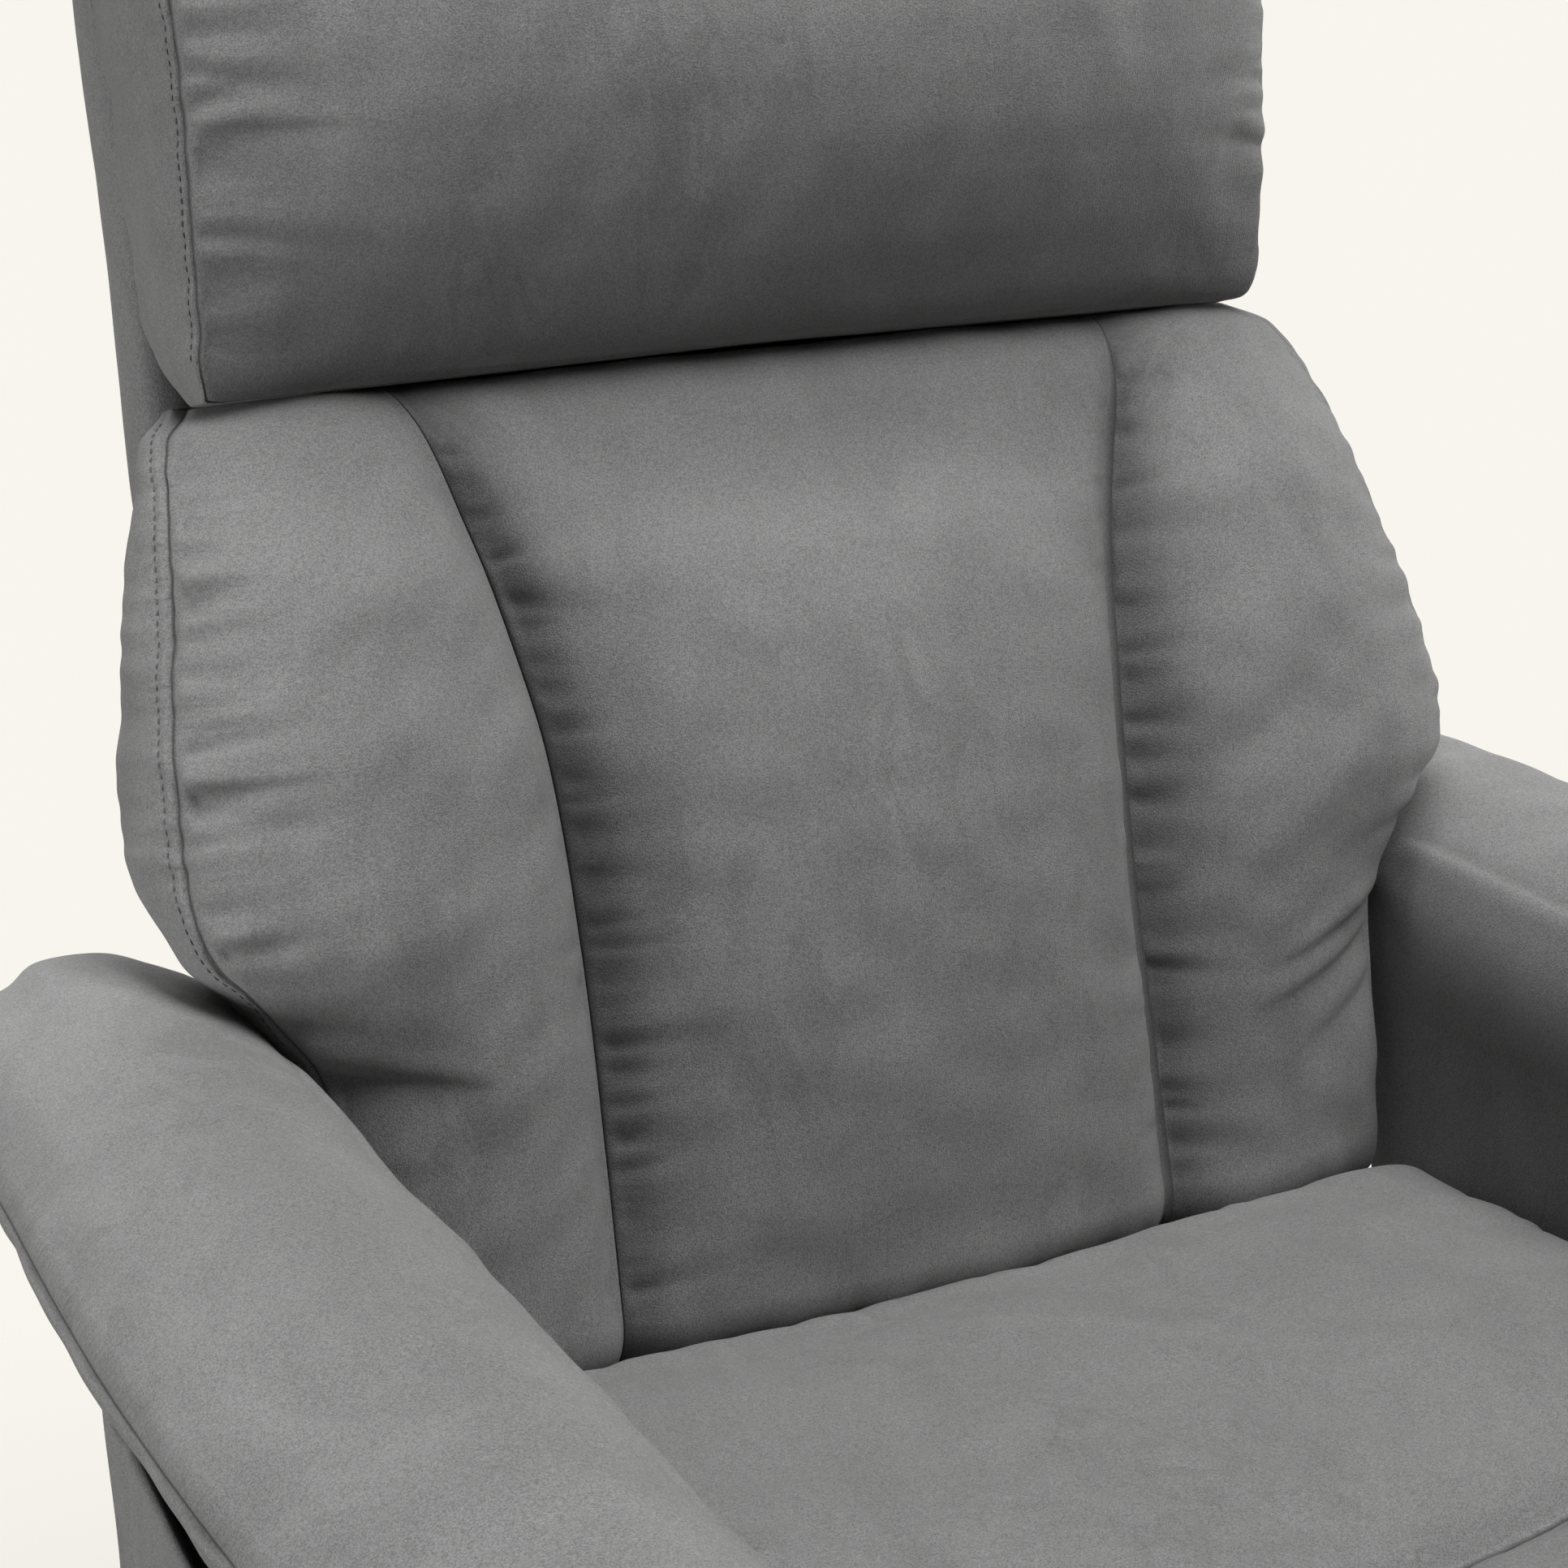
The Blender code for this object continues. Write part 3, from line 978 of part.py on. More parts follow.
def shell_half_width(z):
    flare = smooth((z - SHELL_FLARE_START) / (SHELL_FLARE_END - SHELL_FLARE_START))
    wide = SHELL_LOWER_HALF_WIDTH + (SHELL_UPPER_HALF_WIDTH - SHELL_LOWER_HALF_WIDTH) * flare
    near = min(max((z - SHELL_TOP + SHELL_TOP_CORNER) / SHELL_TOP_CORNER, 0.0), 1.0)
    return wide - SHELL_TOP_CORNER * (1 - math.sqrt(1 - near * near))


def build_back_frame(back, steel):
    post_in = LIFT_ARM_OUT - POST_WIDTH
    front = CUSHION_REAR + GAP
    rear = front + POST_DEPTH
    for side, sign in SIDES:
        low, high = span(sign, post_in, LIFT_ARM_OUT - GAP)
        post = box(bmesh.new(), (low, front, POST_DEPTH), (high, rear, POST_TOP))
        node = finish(f"back_post_{side}", post, steel, back, True)
        arm = hull(circle((0, 0), 2.2 * STUD_RADIUS) + [(front + GAP, 3.2 * POST_DEPTH), (rear - GAP, 3.2 * POST_DEPTH),
                                                       (rear - GAP, POST_DEPTH - GAP)])
        boolean(node, "UNION", prism(bmesh.new(), arm, *span(sign, LIFT_ARM_IN, LIFT_ARM_OUT)), True)
        add_studs(node, sign, [((0, 0), STUD_RADIUS, LIFT_ARM_OUT - ARM_THICKNESS / 2, PLATE_OUT)], True)
    reach = post_in - GAP
    lower = box(bmesh.new(), (-reach, front, 1.4 * POST_DEPTH), (reach, rear, 2.4 * POST_DEPTH))
    node = finish("back_lower_rail", lower, steel, back, True)
    eye = Matrix.Rotation(BACK_LEAN, 2) @ Vector(BACK_LEVER)
    lever = hull(circle(eye, EYE_RADIUS) + [(front + 4 * GAP, 2.2 * POST_DEPTH), (rear - 4 * GAP, 2.2 * POST_DEPTH)])
    half = EYE_RADIUS / 2 - 2 * GAP
    boolean(node, "UNION", prism(bmesh.new(), lever, BACK_MOTOR_X - half, BACK_MOTOR_X + half), True)
    bore = circle(eye, EYE_PIN_RADIUS + PIN_CLEARANCE)
    boolean(node, "DIFFERENCE", prism(bmesh.new(), bore, BACK_MOTOR_X - EYE_RADIUS, BACK_MOTOR_X + EYE_RADIUS), True)
    upper = POST_TOP - 2 * POST_DEPTH
    rail = box(bmesh.new(), (-reach, front, upper), (reach, rear, upper + POST_DEPTH))
    finish("back_upper_rail", rail, steel, back, True)


def build_back_centre(back, fabric):
    """The middle cushion: bowed across and rounded at its ends, narrower below."""
    rings = []
    for t, z in stations(CUSHION_BOTTOM, CUSHION_TOP, 12, 0.05):
        half = centre_half_width(z) - GAP
        end = CUSHION_END + (1 - CUSHION_END) * rounded_end(t, 0.05)
        seam = CUSHION_REAR + (CENTRE_SEAM_DEPTH - CUSHION_REAR) * end
        crown = CENTRE_CROWN * end * (0.9 + 0.1 * math.sin(math.pi * t))
        ring = [(-half, CUSHION_REAR, z), (-half, seam, z)]
        for c in (-0.92, -0.7, -0.4, 0.0, 0.4, 0.7, 0.92):
            ring.append((c * half, seam - crown * math.sqrt(1 - 0.94 * c * c), z))
        ring += [(half, seam, z), (half, CUSHION_REAR, z)]
        rings.append(ring)
    finish("back_centre_cushion", loft(rings), fabric, back, True)


def build_back_wing(side, sign, back, fabric):
    """A side cushion that runs from the middle seam round to the gusset, and out over the arm."""
    rings = []
    for t, z in stations(CUSHION_BOTTOM, CUSHION_TOP, 12, 0.05):
        inner = centre_half_width(z) + GAP
        outer, depth = through(WING_SEAM, z)
        rear_outer = through(WING_SEAM, z - WING_GUSSET_LIFT)[0] if z < WING_SEAM[3][0] else outer
        tucked = shell_half_width(z) - SHELL_WALL - TUCK_CLEARANCE
        end = CUSHION_END + (1 - CUSHION_END) * rounded_end(t, 0.05)
        seam_in = CUSHION_REAR + (CENTRE_SEAM_DEPTH - CUSHION_REAR) * end
        seam_out = min(CUSHION_REAR + (depth - CUSHION_REAR) * end, -TUCK_CLEARANCE)
        crown = WING_CROWN * end
        ring = [(inner, CUSHION_REAR), (inner, seam_in)]
        for s in (0.07, 0.25, 0.5, 0.75, 0.93):
            bulge = crown * math.sin(math.pi * s) ** 0.6
            ring.append((inner + (outer - inner) * s, seam_in + (seam_out - seam_in) * s - bulge))
        ring.append((outer, seam_out))
        ring.append((min(outer, rear_outer + 0.006), 0.5 * seam_out))
        ring.append((min(outer, rear_outer) - 0.004, -4 * GAP))
        ring.append((tucked, 0.0))
        ring.append((tucked - 0.2 * SHELL_CORNER, CUSHION_REAR))
        rings.append([(sign * x, y, z) for x, y in ring])
    finish(f"back_wing_{side}", loft(rings), fabric, back, True)


def build_headrest(back, fabric):
    """A pillow lofted across the back: its front swells most in the middle and turns under at the bottom."""
    rings = []
    tall = HEADREST_TOP - HEADREST_BOTTOM
    tuck_start = 0.87 * HEADREST_HALF_WIDTH
    for t, x in stations(-HEADREST_HALF_WIDTH, HEADREST_HALF_WIDTH, 9, 0.05):
        end = 0.93 + 0.07 * rounded_end(t, 0.05)
        swell = HEADREST_CROWN * (1 - (2 * t - 1) ** 2) ** 0.6
        drawn = 0.006 * math.sin(math.pi * t)
        middle = HEADREST_BOTTOM + 0.5 * tall
        tucked = smooth((abs(x) - tuck_start) / (HEADREST_HALF_WIDTH - tuck_start) * 2)
        rear = CUSHION_REAR - (CUSHION_REAR + TUCK_CLEARANCE) * tucked
        ring = [(rear, HEADREST_BOTTOM + 0.04 * tall)]
        for s, seam in ((0.0, 0.000), (0.06, -0.036), (0.2, -0.058), (0.4, -0.070), (0.6, -0.077), (0.8, -0.074),
                        (0.93, -0.056), (1.0, -0.020)):
            front = seam - swell * math.sin(math.pi * (0.06 + 0.9 * s)) ** 0.7
            ring.append((front, middle + end * (HEADREST_BOTTOM + drawn * (1 - s) + tall * s - middle)))
        ring.append((rear, HEADREST_TOP - 0.1 * tall))
        rings.append([(x, y, z) for y, z in ring])
    finish("headrest_cushion", loft(rings), fabric, back, True)


def build_shell(back, fabric):
    """The outer back: a wall with rounded corners and side returns, closed over the posts at its top."""
    inner_rear = CUSHION_REAR + 2 * GAP + POST_DEPTH
    outer_rear = inner_rear + SHELL_WALL
    places = [0.0, 0.5 * SHELL_FLARE_START, SHELL_FLARE_START]
    places += [SHELL_FLARE_START + (SHELL_FLARE_END - SHELL_FLARE_START) * k / 4 for k in range(1, 5)]
    cap = POST_TOP + GAP
    places += [0.5 * (SHELL_FLARE_END + SHELL_TOP), SHELL_TOP - SHELL_TOP_CORNER, cap, cap + GAP]
    places += [0.5 * (cap + SHELL_TOP), SHELL_TOP - 0.1 * (SHELL_TOP - cap)]
    rings = []
    for z in sorted(places):
        wide = shell_half_width(z)
        closed = z > cap
        ring = []
        for sign in (1, -1):
            arc = [(wide, 0.0), (wide, outer_rear - SHELL_CORNER)]
            for degrees in (30, 60, 90):
                turn = math.radians(degrees)
                x = wide - SHELL_CORNER * (1 - math.cos(turn))
                arc.append((x, outer_rear - SHELL_CORNER * (1 - math.sin(turn))))
            ring += [(sign * x, y) for x, y in (arc if sign > 0 else arc[::-1])]
        for sign in (-1, 1):
            reach = wide - SHELL_WALL
            depth = CUSHION_REAR + GAP if closed else inner_rear
            arc = [(reach, 0.0), (reach, min(depth, outer_rear - SHELL_CORNER)), (reach - 0.35 * SHELL_CORNER, depth)]
            if closed:
                arc = [(reach, 0.0), (reach, 0.5 * depth), (reach - 0.1 * SHELL_CORNER, depth)]
            ring += [(sign * x, y) for x, y in (arc if sign < 0 else arc[::-1])]
        rings.append([(x, y, z) for x, y in ring])
    finish("back_shell", loft(rings), fabric, back, True)


def main():
    clear_scene()
    steel = material("black_painted_steel", (0.035, 0.035, 0.038), 0.45, 0.6)
    race_steel = material("bearing_steel", (0.55, 0.56, 0.58), 0.25, 1.0)
    zinc = material("zinc_plated_steel", (0.48, 0.48, 0.47), 0.35, 1.0)
    brass = material("retainer_brass", (0.55, 0.42, 0.18), 0.4, 1.0)
    rubber = material("black_rubber", (0.02, 0.02, 0.02), 0.9)
    plastic = material("black_plastic", (0.03, 0.03, 0.032), 0.5)
    wood = material("birch_plywood", (0.55, 0.40, 0.25), 0.6)
    fabric = material("grey_suede", (0.25, 0.245, 0.235), 0.95)

    root = pivot("base_root", (0.0, 0.0))
    turning = pivot("swivel_axis", (0.0, 0.0), root)
    arms = pivot("lift_axis", LIFT_FOOT, turning)
    links = pivot("control_axis", CONTROL_FOOT, turning)
    chassis = pivot("chassis_axis", LIFT_HEAD, arms)
    back = pivot("back_axis", BACK_HINGE, chassis, -BACK_LEAN)
    lift_line = LIFT_LEVER - LIFT_MOTOR
    lift_angle = math.atan2(lift_line[1], lift_line[0])
    back_line = BACK_EYE - BACK_MOTOR
    back_angle = math.atan2(back_line[1], back_line[0])
    lift_motor = pivot("lift_motor_axis", LIFT_MOTOR, chassis, lift_angle)
    lift_rod = pivot("lift_rod_axis", LIFT_LEVER, arms, lift_angle)
    back_motor = pivot("back_motor_axis", (BACK_MOTOR_X, *BACK_MOTOR), chassis, back_angle)
    back_rod = pivot("back_rod_axis", (BACK_MOTOR_X, *BACK_EYE), chassis, back_angle)
    axes = {
        "crank": pivot("leg_crank_axis", CRANK, chassis),
        "guide": pivot("leg_guide_axis", GUIDE, chassis),
        "carrier": pivot("leg_carrier_axis", CRANK_END, chassis),
        "tilt": pivot("leg_tilt_axis", CRANK_END + TILT_ARM, chassis),
    }
    leg_pad = pivot("leg_pad_axis", LEG_HINGE, chassis, LEG_PAD_REST_TILT)

    build_base(root, steel, race_steel, rubber)
    build_bearing(turning, race_steel, brass)
    build_swivel_frame(turning, steel, plastic)
    build_lift_arms(arms, steel)
    build_control_links(links, steel)
    build_motor("lift_motor", lift_motor, lift_line.length, 1, plastic)
    build_rod("lift_rod", lift_rod, lift_line.length, zinc)
    build_chassis(chassis, steel)
    build_spring(chassis, zinc)
    build_leg_linkage(axes, chassis, zinc, plastic)
    build_leg_pad(leg_pad, zinc, wood, fabric)
    build_seat(chassis, fabric)
    for side, sign in SIDES:
        build_arm_frame(side, sign, chassis, wood)
        build_arm_pad(side, sign, chassis, fabric)
        build_side_panel(side, sign, chassis, fabric)
    build_back_frame(back, steel)
    build_back_centre(back, fabric)
    for side, sign in SIDES:
        build_back_wing(side, sign, back, fabric)
    build_headrest(back, fabric)
    build_shell(back, fabric)
    build_motor("back_motor", back_motor, back_line.length - BACK_STROKE, -1, plastic)
    build_rod("back_rod", back_rod, back_line.length - BACK_STROKE, zinc)


main()
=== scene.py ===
"""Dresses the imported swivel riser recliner: plump suede cushions with sewn seams, finished metal, wood and plastic."""
import json
import math

import bpy
import numpy as np
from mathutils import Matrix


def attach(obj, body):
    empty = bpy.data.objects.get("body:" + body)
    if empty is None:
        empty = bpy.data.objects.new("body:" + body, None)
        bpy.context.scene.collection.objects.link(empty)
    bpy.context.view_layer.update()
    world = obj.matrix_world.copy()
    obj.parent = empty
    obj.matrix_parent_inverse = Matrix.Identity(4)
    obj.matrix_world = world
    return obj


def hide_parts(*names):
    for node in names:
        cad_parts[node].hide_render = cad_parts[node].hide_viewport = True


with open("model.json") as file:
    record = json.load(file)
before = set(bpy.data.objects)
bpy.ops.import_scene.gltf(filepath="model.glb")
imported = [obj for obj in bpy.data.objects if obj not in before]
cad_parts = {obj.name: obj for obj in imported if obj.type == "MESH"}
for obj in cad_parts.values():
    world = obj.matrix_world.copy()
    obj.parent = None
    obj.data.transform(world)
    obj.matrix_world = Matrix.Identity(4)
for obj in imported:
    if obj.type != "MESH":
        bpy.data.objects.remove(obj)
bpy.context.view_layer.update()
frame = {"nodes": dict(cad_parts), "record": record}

# The photograph's camera: place, turn towards +X, tilt down, and focal length in picture widths
CAMERA_PLACE = (-0.6251, -0.8795, 1.1052)
CAMERA_TURN = math.radians(27.74)
CAMERA_TILT = math.radians(18.81)
CAMERA_SENSOR = 36.0
CAMERA_FOCAL = 3996.7 / 1932.0

# Backdrop, floor and light: linear colours, metres and watts
BACKGROUND = (0.939, 0.913, 0.855)
AMBIENT = 0.02
FLOOR_GLOW = 0.6
FLOOR_BOUNCE = (0.12, 0.117, 0.11)
FLOOR_FADE = (0.65, 1.7)
FLOOR_RADIUS = 2.6
FLOOR_Z = -0.0008
# Each lamp's name, place, aim, size and power
LAMPS = (
    ("key", (0.22, -0.54, 2.80), (0.0, 0.05, 0.7), (1.0, 2.6), 68.0),
    ("left", (-2.9, 0.05, 0.70), (-0.2, 0.25, 0.80), (0.7, 0.7), 42.0),
    ("right", (2.9, 0.50, 0.72), (0.2, 0.25, 0.80), (0.7, 0.7), 34.0),
    ("rear", (0.5, 3.10, 1.55), (0.0, 0.40, 0.75), (1.4, 1.4), 62.0),
)

# Suede and thread in two greys each, lint, and the dark of sewn lines and of painted shade
SUEDE_GREYS = ((0.233, 0.233, 0.232), (0.265, 0.265, 0.264))
THREAD_GREYS = ((0.10, 0.10, 0.10), (0.14, 0.14, 0.14))
LINT = (0.035, 0.034, 0.033)
SEAM_AND_SHADE_DARK = (0.018, 0.018, 0.018)
# Hard finishes by slot: name, its two colours, metallic, roughness, what bumps it, how strongly, and the wear's sizes
WEAR_SIZES = {"Tone Size": 14.0, "Pebble Size": 900.0, "Scratch Size": 60.0}
HARD_FINISHES = {
    "painted_steel": ("black_powder_coat", (0.022, 0.022, 0.024), (0.042, 0.042, 0.045), 0.0, (0.42, 0.60),
                      "Pebble", 0.35, (14.0, 900.0, 60.0)),
    "zinc": ("zinc_plate", (0.40, 0.41, 0.41), (0.60, 0.60, 0.58), 1.0, (0.26, 0.46),
             "Scratch", 0.12, (30.0, 900.0, 60.0)),
    "bearing": ("ground_steel", (0.50, 0.51, 0.53), (0.66, 0.67, 0.69), 1.0, (0.18, 0.32),
                "Scratch", 0.16, (20.0, 900.0, 140.0)),
    "brass": ("pressed_brass", (0.46, 0.33, 0.12), (0.66, 0.50, 0.22), 1.0, (0.28, 0.46),
              "Scratch", 0.10, (40.0, 900.0, 60.0)),
    "plastic": ("black_moulded_plastic", (0.022, 0.022, 0.024), (0.036, 0.036, 0.039), 0.0, (0.46, 0.62),
                "Pebble", 0.45, (10.0, 1400.0, 60.0)),
    "rubber": ("black_rubber", (0.012, 0.012, 0.012), (0.026, 0.026, 0.026), 0.0, (0.80, 0.94),
               "Pebble", 0.25, (22.0, 500.0, 60.0)),
}

# Cloth: the gap where pieces touch, half the gap between sewn pieces, a sewn line's width, the width over which relief
# fades beside it, the width and depth that it pulls in on a front and on a gusset, and the stitches beside it
TOUCH = 0.0004
SEAM_GAP = 0.00012
SEWN_WIDTH = 0.00024
SEAM_FADE = 0.004
SEAM_PULL = (0.0016, 0.0006)
GUSSET_PULL = (0.0012, 0.0006)
STITCH_OFFSET = 0.0046
STITCH_PITCH = 0.0043
STITCH_LENGTH = 0.0031
STITCH_THICK = 0.00042
WING_STITCH_ROWS = slice(140, 330)
HEADREST_STITCH_ROWS = slice(40, 255)

# The cloth simulation that swells the cushions
SIM_FRAMES = 20
SIM_SPACING = 0.011
SWELL_CAP = 0.024
CLOTH = {"quality": 5, "mass": 0.15, "tension_stiffness": 12.0, "compression_stiffness": 12.0, "bending_stiffness": 0.8,
         "use_pressure": True, "vertex_group_mass": "held"}

# The two sides: their names and the sign of x
SIDES = (("left", -1), ("right", 1))

# The back's own frame: its hinge's y and z, and how far it leans
BACK_HINGE = (0.225, 0.360)
LEAN = math.radians(16.5)

# Back cushions, in the back's frame: y to the rear, z up along the back
CUSHION_REAR = 0.0374
CUSHION_LOW = 0.080
CUSHION_HIGH = 0.4875
CUSHION_END = 0.022
CUSHION_END_LEFT = 0.80
CENTRE_CROWN = 0.036
CENTRE_DRAW = (0.390, 0.455, 0.33)
CENTRE_SEAM_DEPTH = ((0.080, -0.0640), (0.168, -0.0675), (0.250, -0.0700), (0.333, -0.0715), (0.377, -0.0665),
                     (0.419, -0.0630), (0.455, -0.0580), (0.4875, -0.0400))
CENTRE_HALF_WIDTH = ((0.080, 0.1330), (0.168, 0.1312), (0.250, 0.1306), (0.333, 0.1345), (0.400, 0.1450),
                     (0.4615, 0.1615), (0.4875, 0.1690))
# Gathers at the middle cushion's left, right and lower seam: seed, span, pitch, reach, depth, width and lean
CENTRE_PUCKERS = ((13, (0.10, 0.46), 0.0120, 0.028, 0.0011, 0.0028, 0.12),
                  (14, (0.10, 0.46), 0.016, 0.020, 0.0006, 0.0024, 0.12), (15, (-0.12, 0.12), 0.022, 0.022, 0.0011))
WING_CROWN = 0.031
WING_DRAW = (0.395, 0.460, 0.42)
WING_SEAM = ((0.080, 0.2480, -0.0590), (0.180, 0.2485, -0.0700), (0.222, 0.2505, -0.0760), (0.252, 0.2700, -0.0810),
             (0.278, 0.2890, -0.0850), (0.305, 0.2925, -0.0810), (0.355, 0.2885, -0.0735), (0.400, 0.2790, -0.0630),
             (0.440, 0.2715, -0.0520), (0.475, 0.2610, -0.0340), (0.4875, 0.2460, -0.0200))
WING_GUSSET_LIFT = 0.026
WING_GUSSET_SWELL = 0.013
WING_SIDE_SWELL = 0.005
WING_SLANT = 0.012
# Gathers at each wing's outer and inner seam
WING_PUCKERS = {
    -1: ((31, (0.24, 0.475), 0.0125, 0.032, 0.0025, 0.0034, 0.14),
         (32, (0.10, 0.46), 0.018, 0.016, 0.0005, 0.0024, 0.12)),
    1: ((33, (0.24, 0.475), 0.0125, 0.030, 0.0018, 0.0034, 0.14),
        (34, (0.10, 0.46), 0.0135, 0.030, 0.0012, 0.0034, 0.12)),
}
# Creases of each wing: start, end, width and depth
WING_FOLDS = {
    -1: (((0.262, 0.226), (0.186, 0.208), 0.0090, 0.0066), ((0.256, 0.186), (0.205, 0.176), 0.0120, 0.0013),
         ((0.291, 0.338), (0.235, 0.339), 0.0050, 0.0032), ((0.277, 0.414), (0.238, 0.415), 0.0055, 0.0026),
         ((0.290, 0.362), (0.255, 0.364), 0.0050, 0.0022)),
    1: (((0.250, 0.213), (0.172, 0.188), 0.0075, 0.0050), ((0.246, 0.198), (0.168, 0.170), 0.0075, 0.0040),
        ((0.246, 0.176), (0.190, 0.150), 0.0095, 0.0026)),
}

# Outer back, in the back's frame
SHELL_LOWER_HALF_WIDTH = 0.240
SHELL_UPPER_HALF_WIDTH = 0.262
SHELL_FLARE = (0.250, 0.345)
SHELL_TOP = 0.745
SHELL_TOP_CORNER = 0.035
SHELL_CORNER = 0.060
SHELL_WALL = 0.0135
SHELL_REAR = 0.0765
SHELL_TAPER = 0.030
SHELL_TAPER_FROM = 0.46
SHELL_CLOSED = 0.7000
SHELL_LAP = 0.024
SHELL_LAP_HEIGHTS = (0.450, 0.535)
TUCK = 0.005

# Headrest, in the back's frame
HEADREST_LOW = 0.491
HEADREST_HIGH = 0.752
HEADREST_HALF_WIDTH = 0.2490
HEADREST_CROWN = 0.050
HEADREST_GUSSET_FLARE = 0.0045
HEADREST_REAR = ((0.491, -0.0200), (0.501, -0.0130), (0.516, -0.0010), (0.532, 0.0070), (0.560, 0.0080),
                 (0.752, 0.0080))
HEADREST_SEAM = ((0.491, -0.041), (0.4935, -0.0455), (0.500, -0.0500), (0.516, -0.0555), (0.530, -0.0592),
                 (0.564, -0.0675), (0.603, -0.0755), (0.644, -0.0800), (0.690, -0.0770), (0.725, -0.0620),
                 (0.744, -0.0400), (0.752, -0.0120))
# Gathers at the headrest's left and right seam, and its creases
HEADREST_PUCKERS = ((53, (0.505, 0.74), 0.0125, 0.036, 0.0024, 0.0034, 0.14),
                    (54, (0.505, 0.74), 0.0130, 0.034, 0.0021, 0.0034, 0.14))
HEADREST_FOLDS = (((-0.245, 0.640), (-0.190, 0.642), 0.0050, 0.0030),
                  ((-0.245, 0.584), (-0.185, 0.580), 0.0055, 0.0022))

# Seat
SEAT_HALF_WIDTH = 0.2545
SEAT_FRONT_Y = -0.350
SEAT_REAR_Y = 0.185
SEAT_REAR_TOP = 0.450
SEAT_RISE = math.tan(math.radians(3.8))
SEAT_BOTTOM = 0.3636
SEAT_CROWN = 0.014
SEAT_NOSE = 0.055
SEAT_SEAM_Y = -0.108
SEAT_SEAM_BOW = 0.84
SEAT_SIDE_RISE = 0.024
SEAT_REAR_ROUND = 0.020
SEAT_EDGE_DROP = 0.016
SEAT_TUCK = 0.012

# Arms
ARM_INNER_X = 0.2575
ARM_OUTER_X = 0.392
ARM_TOP = 0.631
ARM_FRONT_Y = -0.352
ARM_REAR_Y = 0.345
ARM_INNER_RADIUS = 0.034
ARM_OUTER_RADIUS = 0.040
ARM_ROLL_DROP = 0.020
ARM_BULGE = 0.0085
ARM_BULGE_Y = 0.020
ARM_BULGE_LENGTH = 0.160
ARM_SKIRT = 0.365
ARM_END_RADIUS = 0.024
ARM_SEAM_KNOT = 10.85
ARM_FRONT_SEAM = 0.020
ARM_FRAME_IN = 0.272
ARM_FRAME_OUT = 0.333
ARM_FRAME_TOP = 0.4997
ARM_FRAME_FRONT_Y = -0.315
ARM_FRAME_REAR_Y = 0.188
ARM_FRAME_BOTTOM = 0.114
PANEL_THICKNESS = 0.015
PANEL_CROWN = 0.006
PANEL_DROP = (0.0137, 0.0153)
PANEL_WRAP = 0.012
PANEL_CORNER = 0.010
PANEL_SEAM = 0.014

# Leg rest, in its own frame: origin on its hinge, given as y and z
LEG_HINGE = (-0.2825, 0.2246)
LEG_TILT = math.radians(6.0)
LEG_HALF_WIDTH = 0.232
LEG_HALF_HEIGHT = 0.112
LEG_DEPTH = 0.046
LEG_BACK = -0.0243
LEG_SEAM = 0.014


def ease(t):
    """The smooth step from 0 to 1: three times the square less twice the cube."""
    t = np.clip(t, 0.0, 1.0)
    return t * t * (3.0 - 2.0 * t)


def bell(x, width):
    """The bell curve: 1 in the middle, and a power of e falling with the square of the distance in widths."""
    return np.exp(-((x / width) ** 2))


def sewn_line(away):
    """The dark of a sewn line, by the distance from it."""
    return bell(away, SEWN_WIDTH)


def open_run(start, end, count):
    """Even values from a start towards an end, which is left out."""
    return np.linspace(start, end, count, endpoint=False)


def even(count):
    """One row of even values from 0 towards 1."""
    return open_run(0.0, 1.0, count)[None, :]


def curve(knots, values, at):
    """A cubic through the values at the knots. Each knot's slope is that of the line between its neighbours."""
    knots = np.asarray(knots, float)
    values = np.asarray(values, float)
    wide = (-1,) + (1,) * (values.ndim - 1)
    gaps = np.diff(knots)
    rise = np.diff(values, axis=0) / gaps.reshape(wide)
    slope = np.concatenate([rise[:1], (values[2:] - values[:-2]) / (knots[2:] - knots[:-2]).reshape(wide), rise[-1:]])
    at = np.clip(np.asarray(at, float), knots[0], knots[-1])
    shape = at.shape
    at = at.ravel()
    k = np.clip(np.searchsorted(knots, at, side="right") - 1, 0, len(knots) - 2)
    t = ((at - knots[k]) / gaps[k]).reshape(wide)
    span = gaps[k].reshape(wide)
    made = (values[k] * (1 + 2 * t) * (1 - t) ** 2 + values[k + 1] * t * t * (3 - 2 * t)
            + slope[k] * span * t * (1 - t) ** 2 - slope[k + 1] * span * t * t * (1 - t))
    return made.reshape(shape + values.shape[1:])


def through(points, at):
    """A curve through rows of numbers, of which the first in each row is the knot."""
    table = np.array(points)
    made = curve(table[:, 0], table[:, 1:], at)
    return made[..., 0] if table.shape[1] == 2 else [made[..., k] for k in range(table.shape[1] - 1)]


def spaced(count, crowd=0.6, closed=False):
    """Values from 0 to 1: an even run mixed with a cosine run, which crowds towards both ends."""
    t = np.linspace(0.0, 1.0, count, endpoint=closed)
    return (1 - crowd) * t + crowd * (0.5 - 0.5 * np.cos(np.pi * t))


def lumps(a, b, seed, size, terms=9):
    """Soft unevenness over two lengths: a sum of sine waves in seeded directions, about one high."""
    rng = np.random.default_rng(seed)
    made = np.zeros(np.broadcast(a, b).shape)
    for _ in range(terms):
        turn, phase = rng.uniform(0, 2 * np.pi, 2)
        wave = 2 * np.pi / (size * rng.uniform(0.7, 1.6))
        made += np.sin(wave * (a * np.cos(turn) + b * np.sin(turn)) + phase)
    return made / math.sqrt(terms)


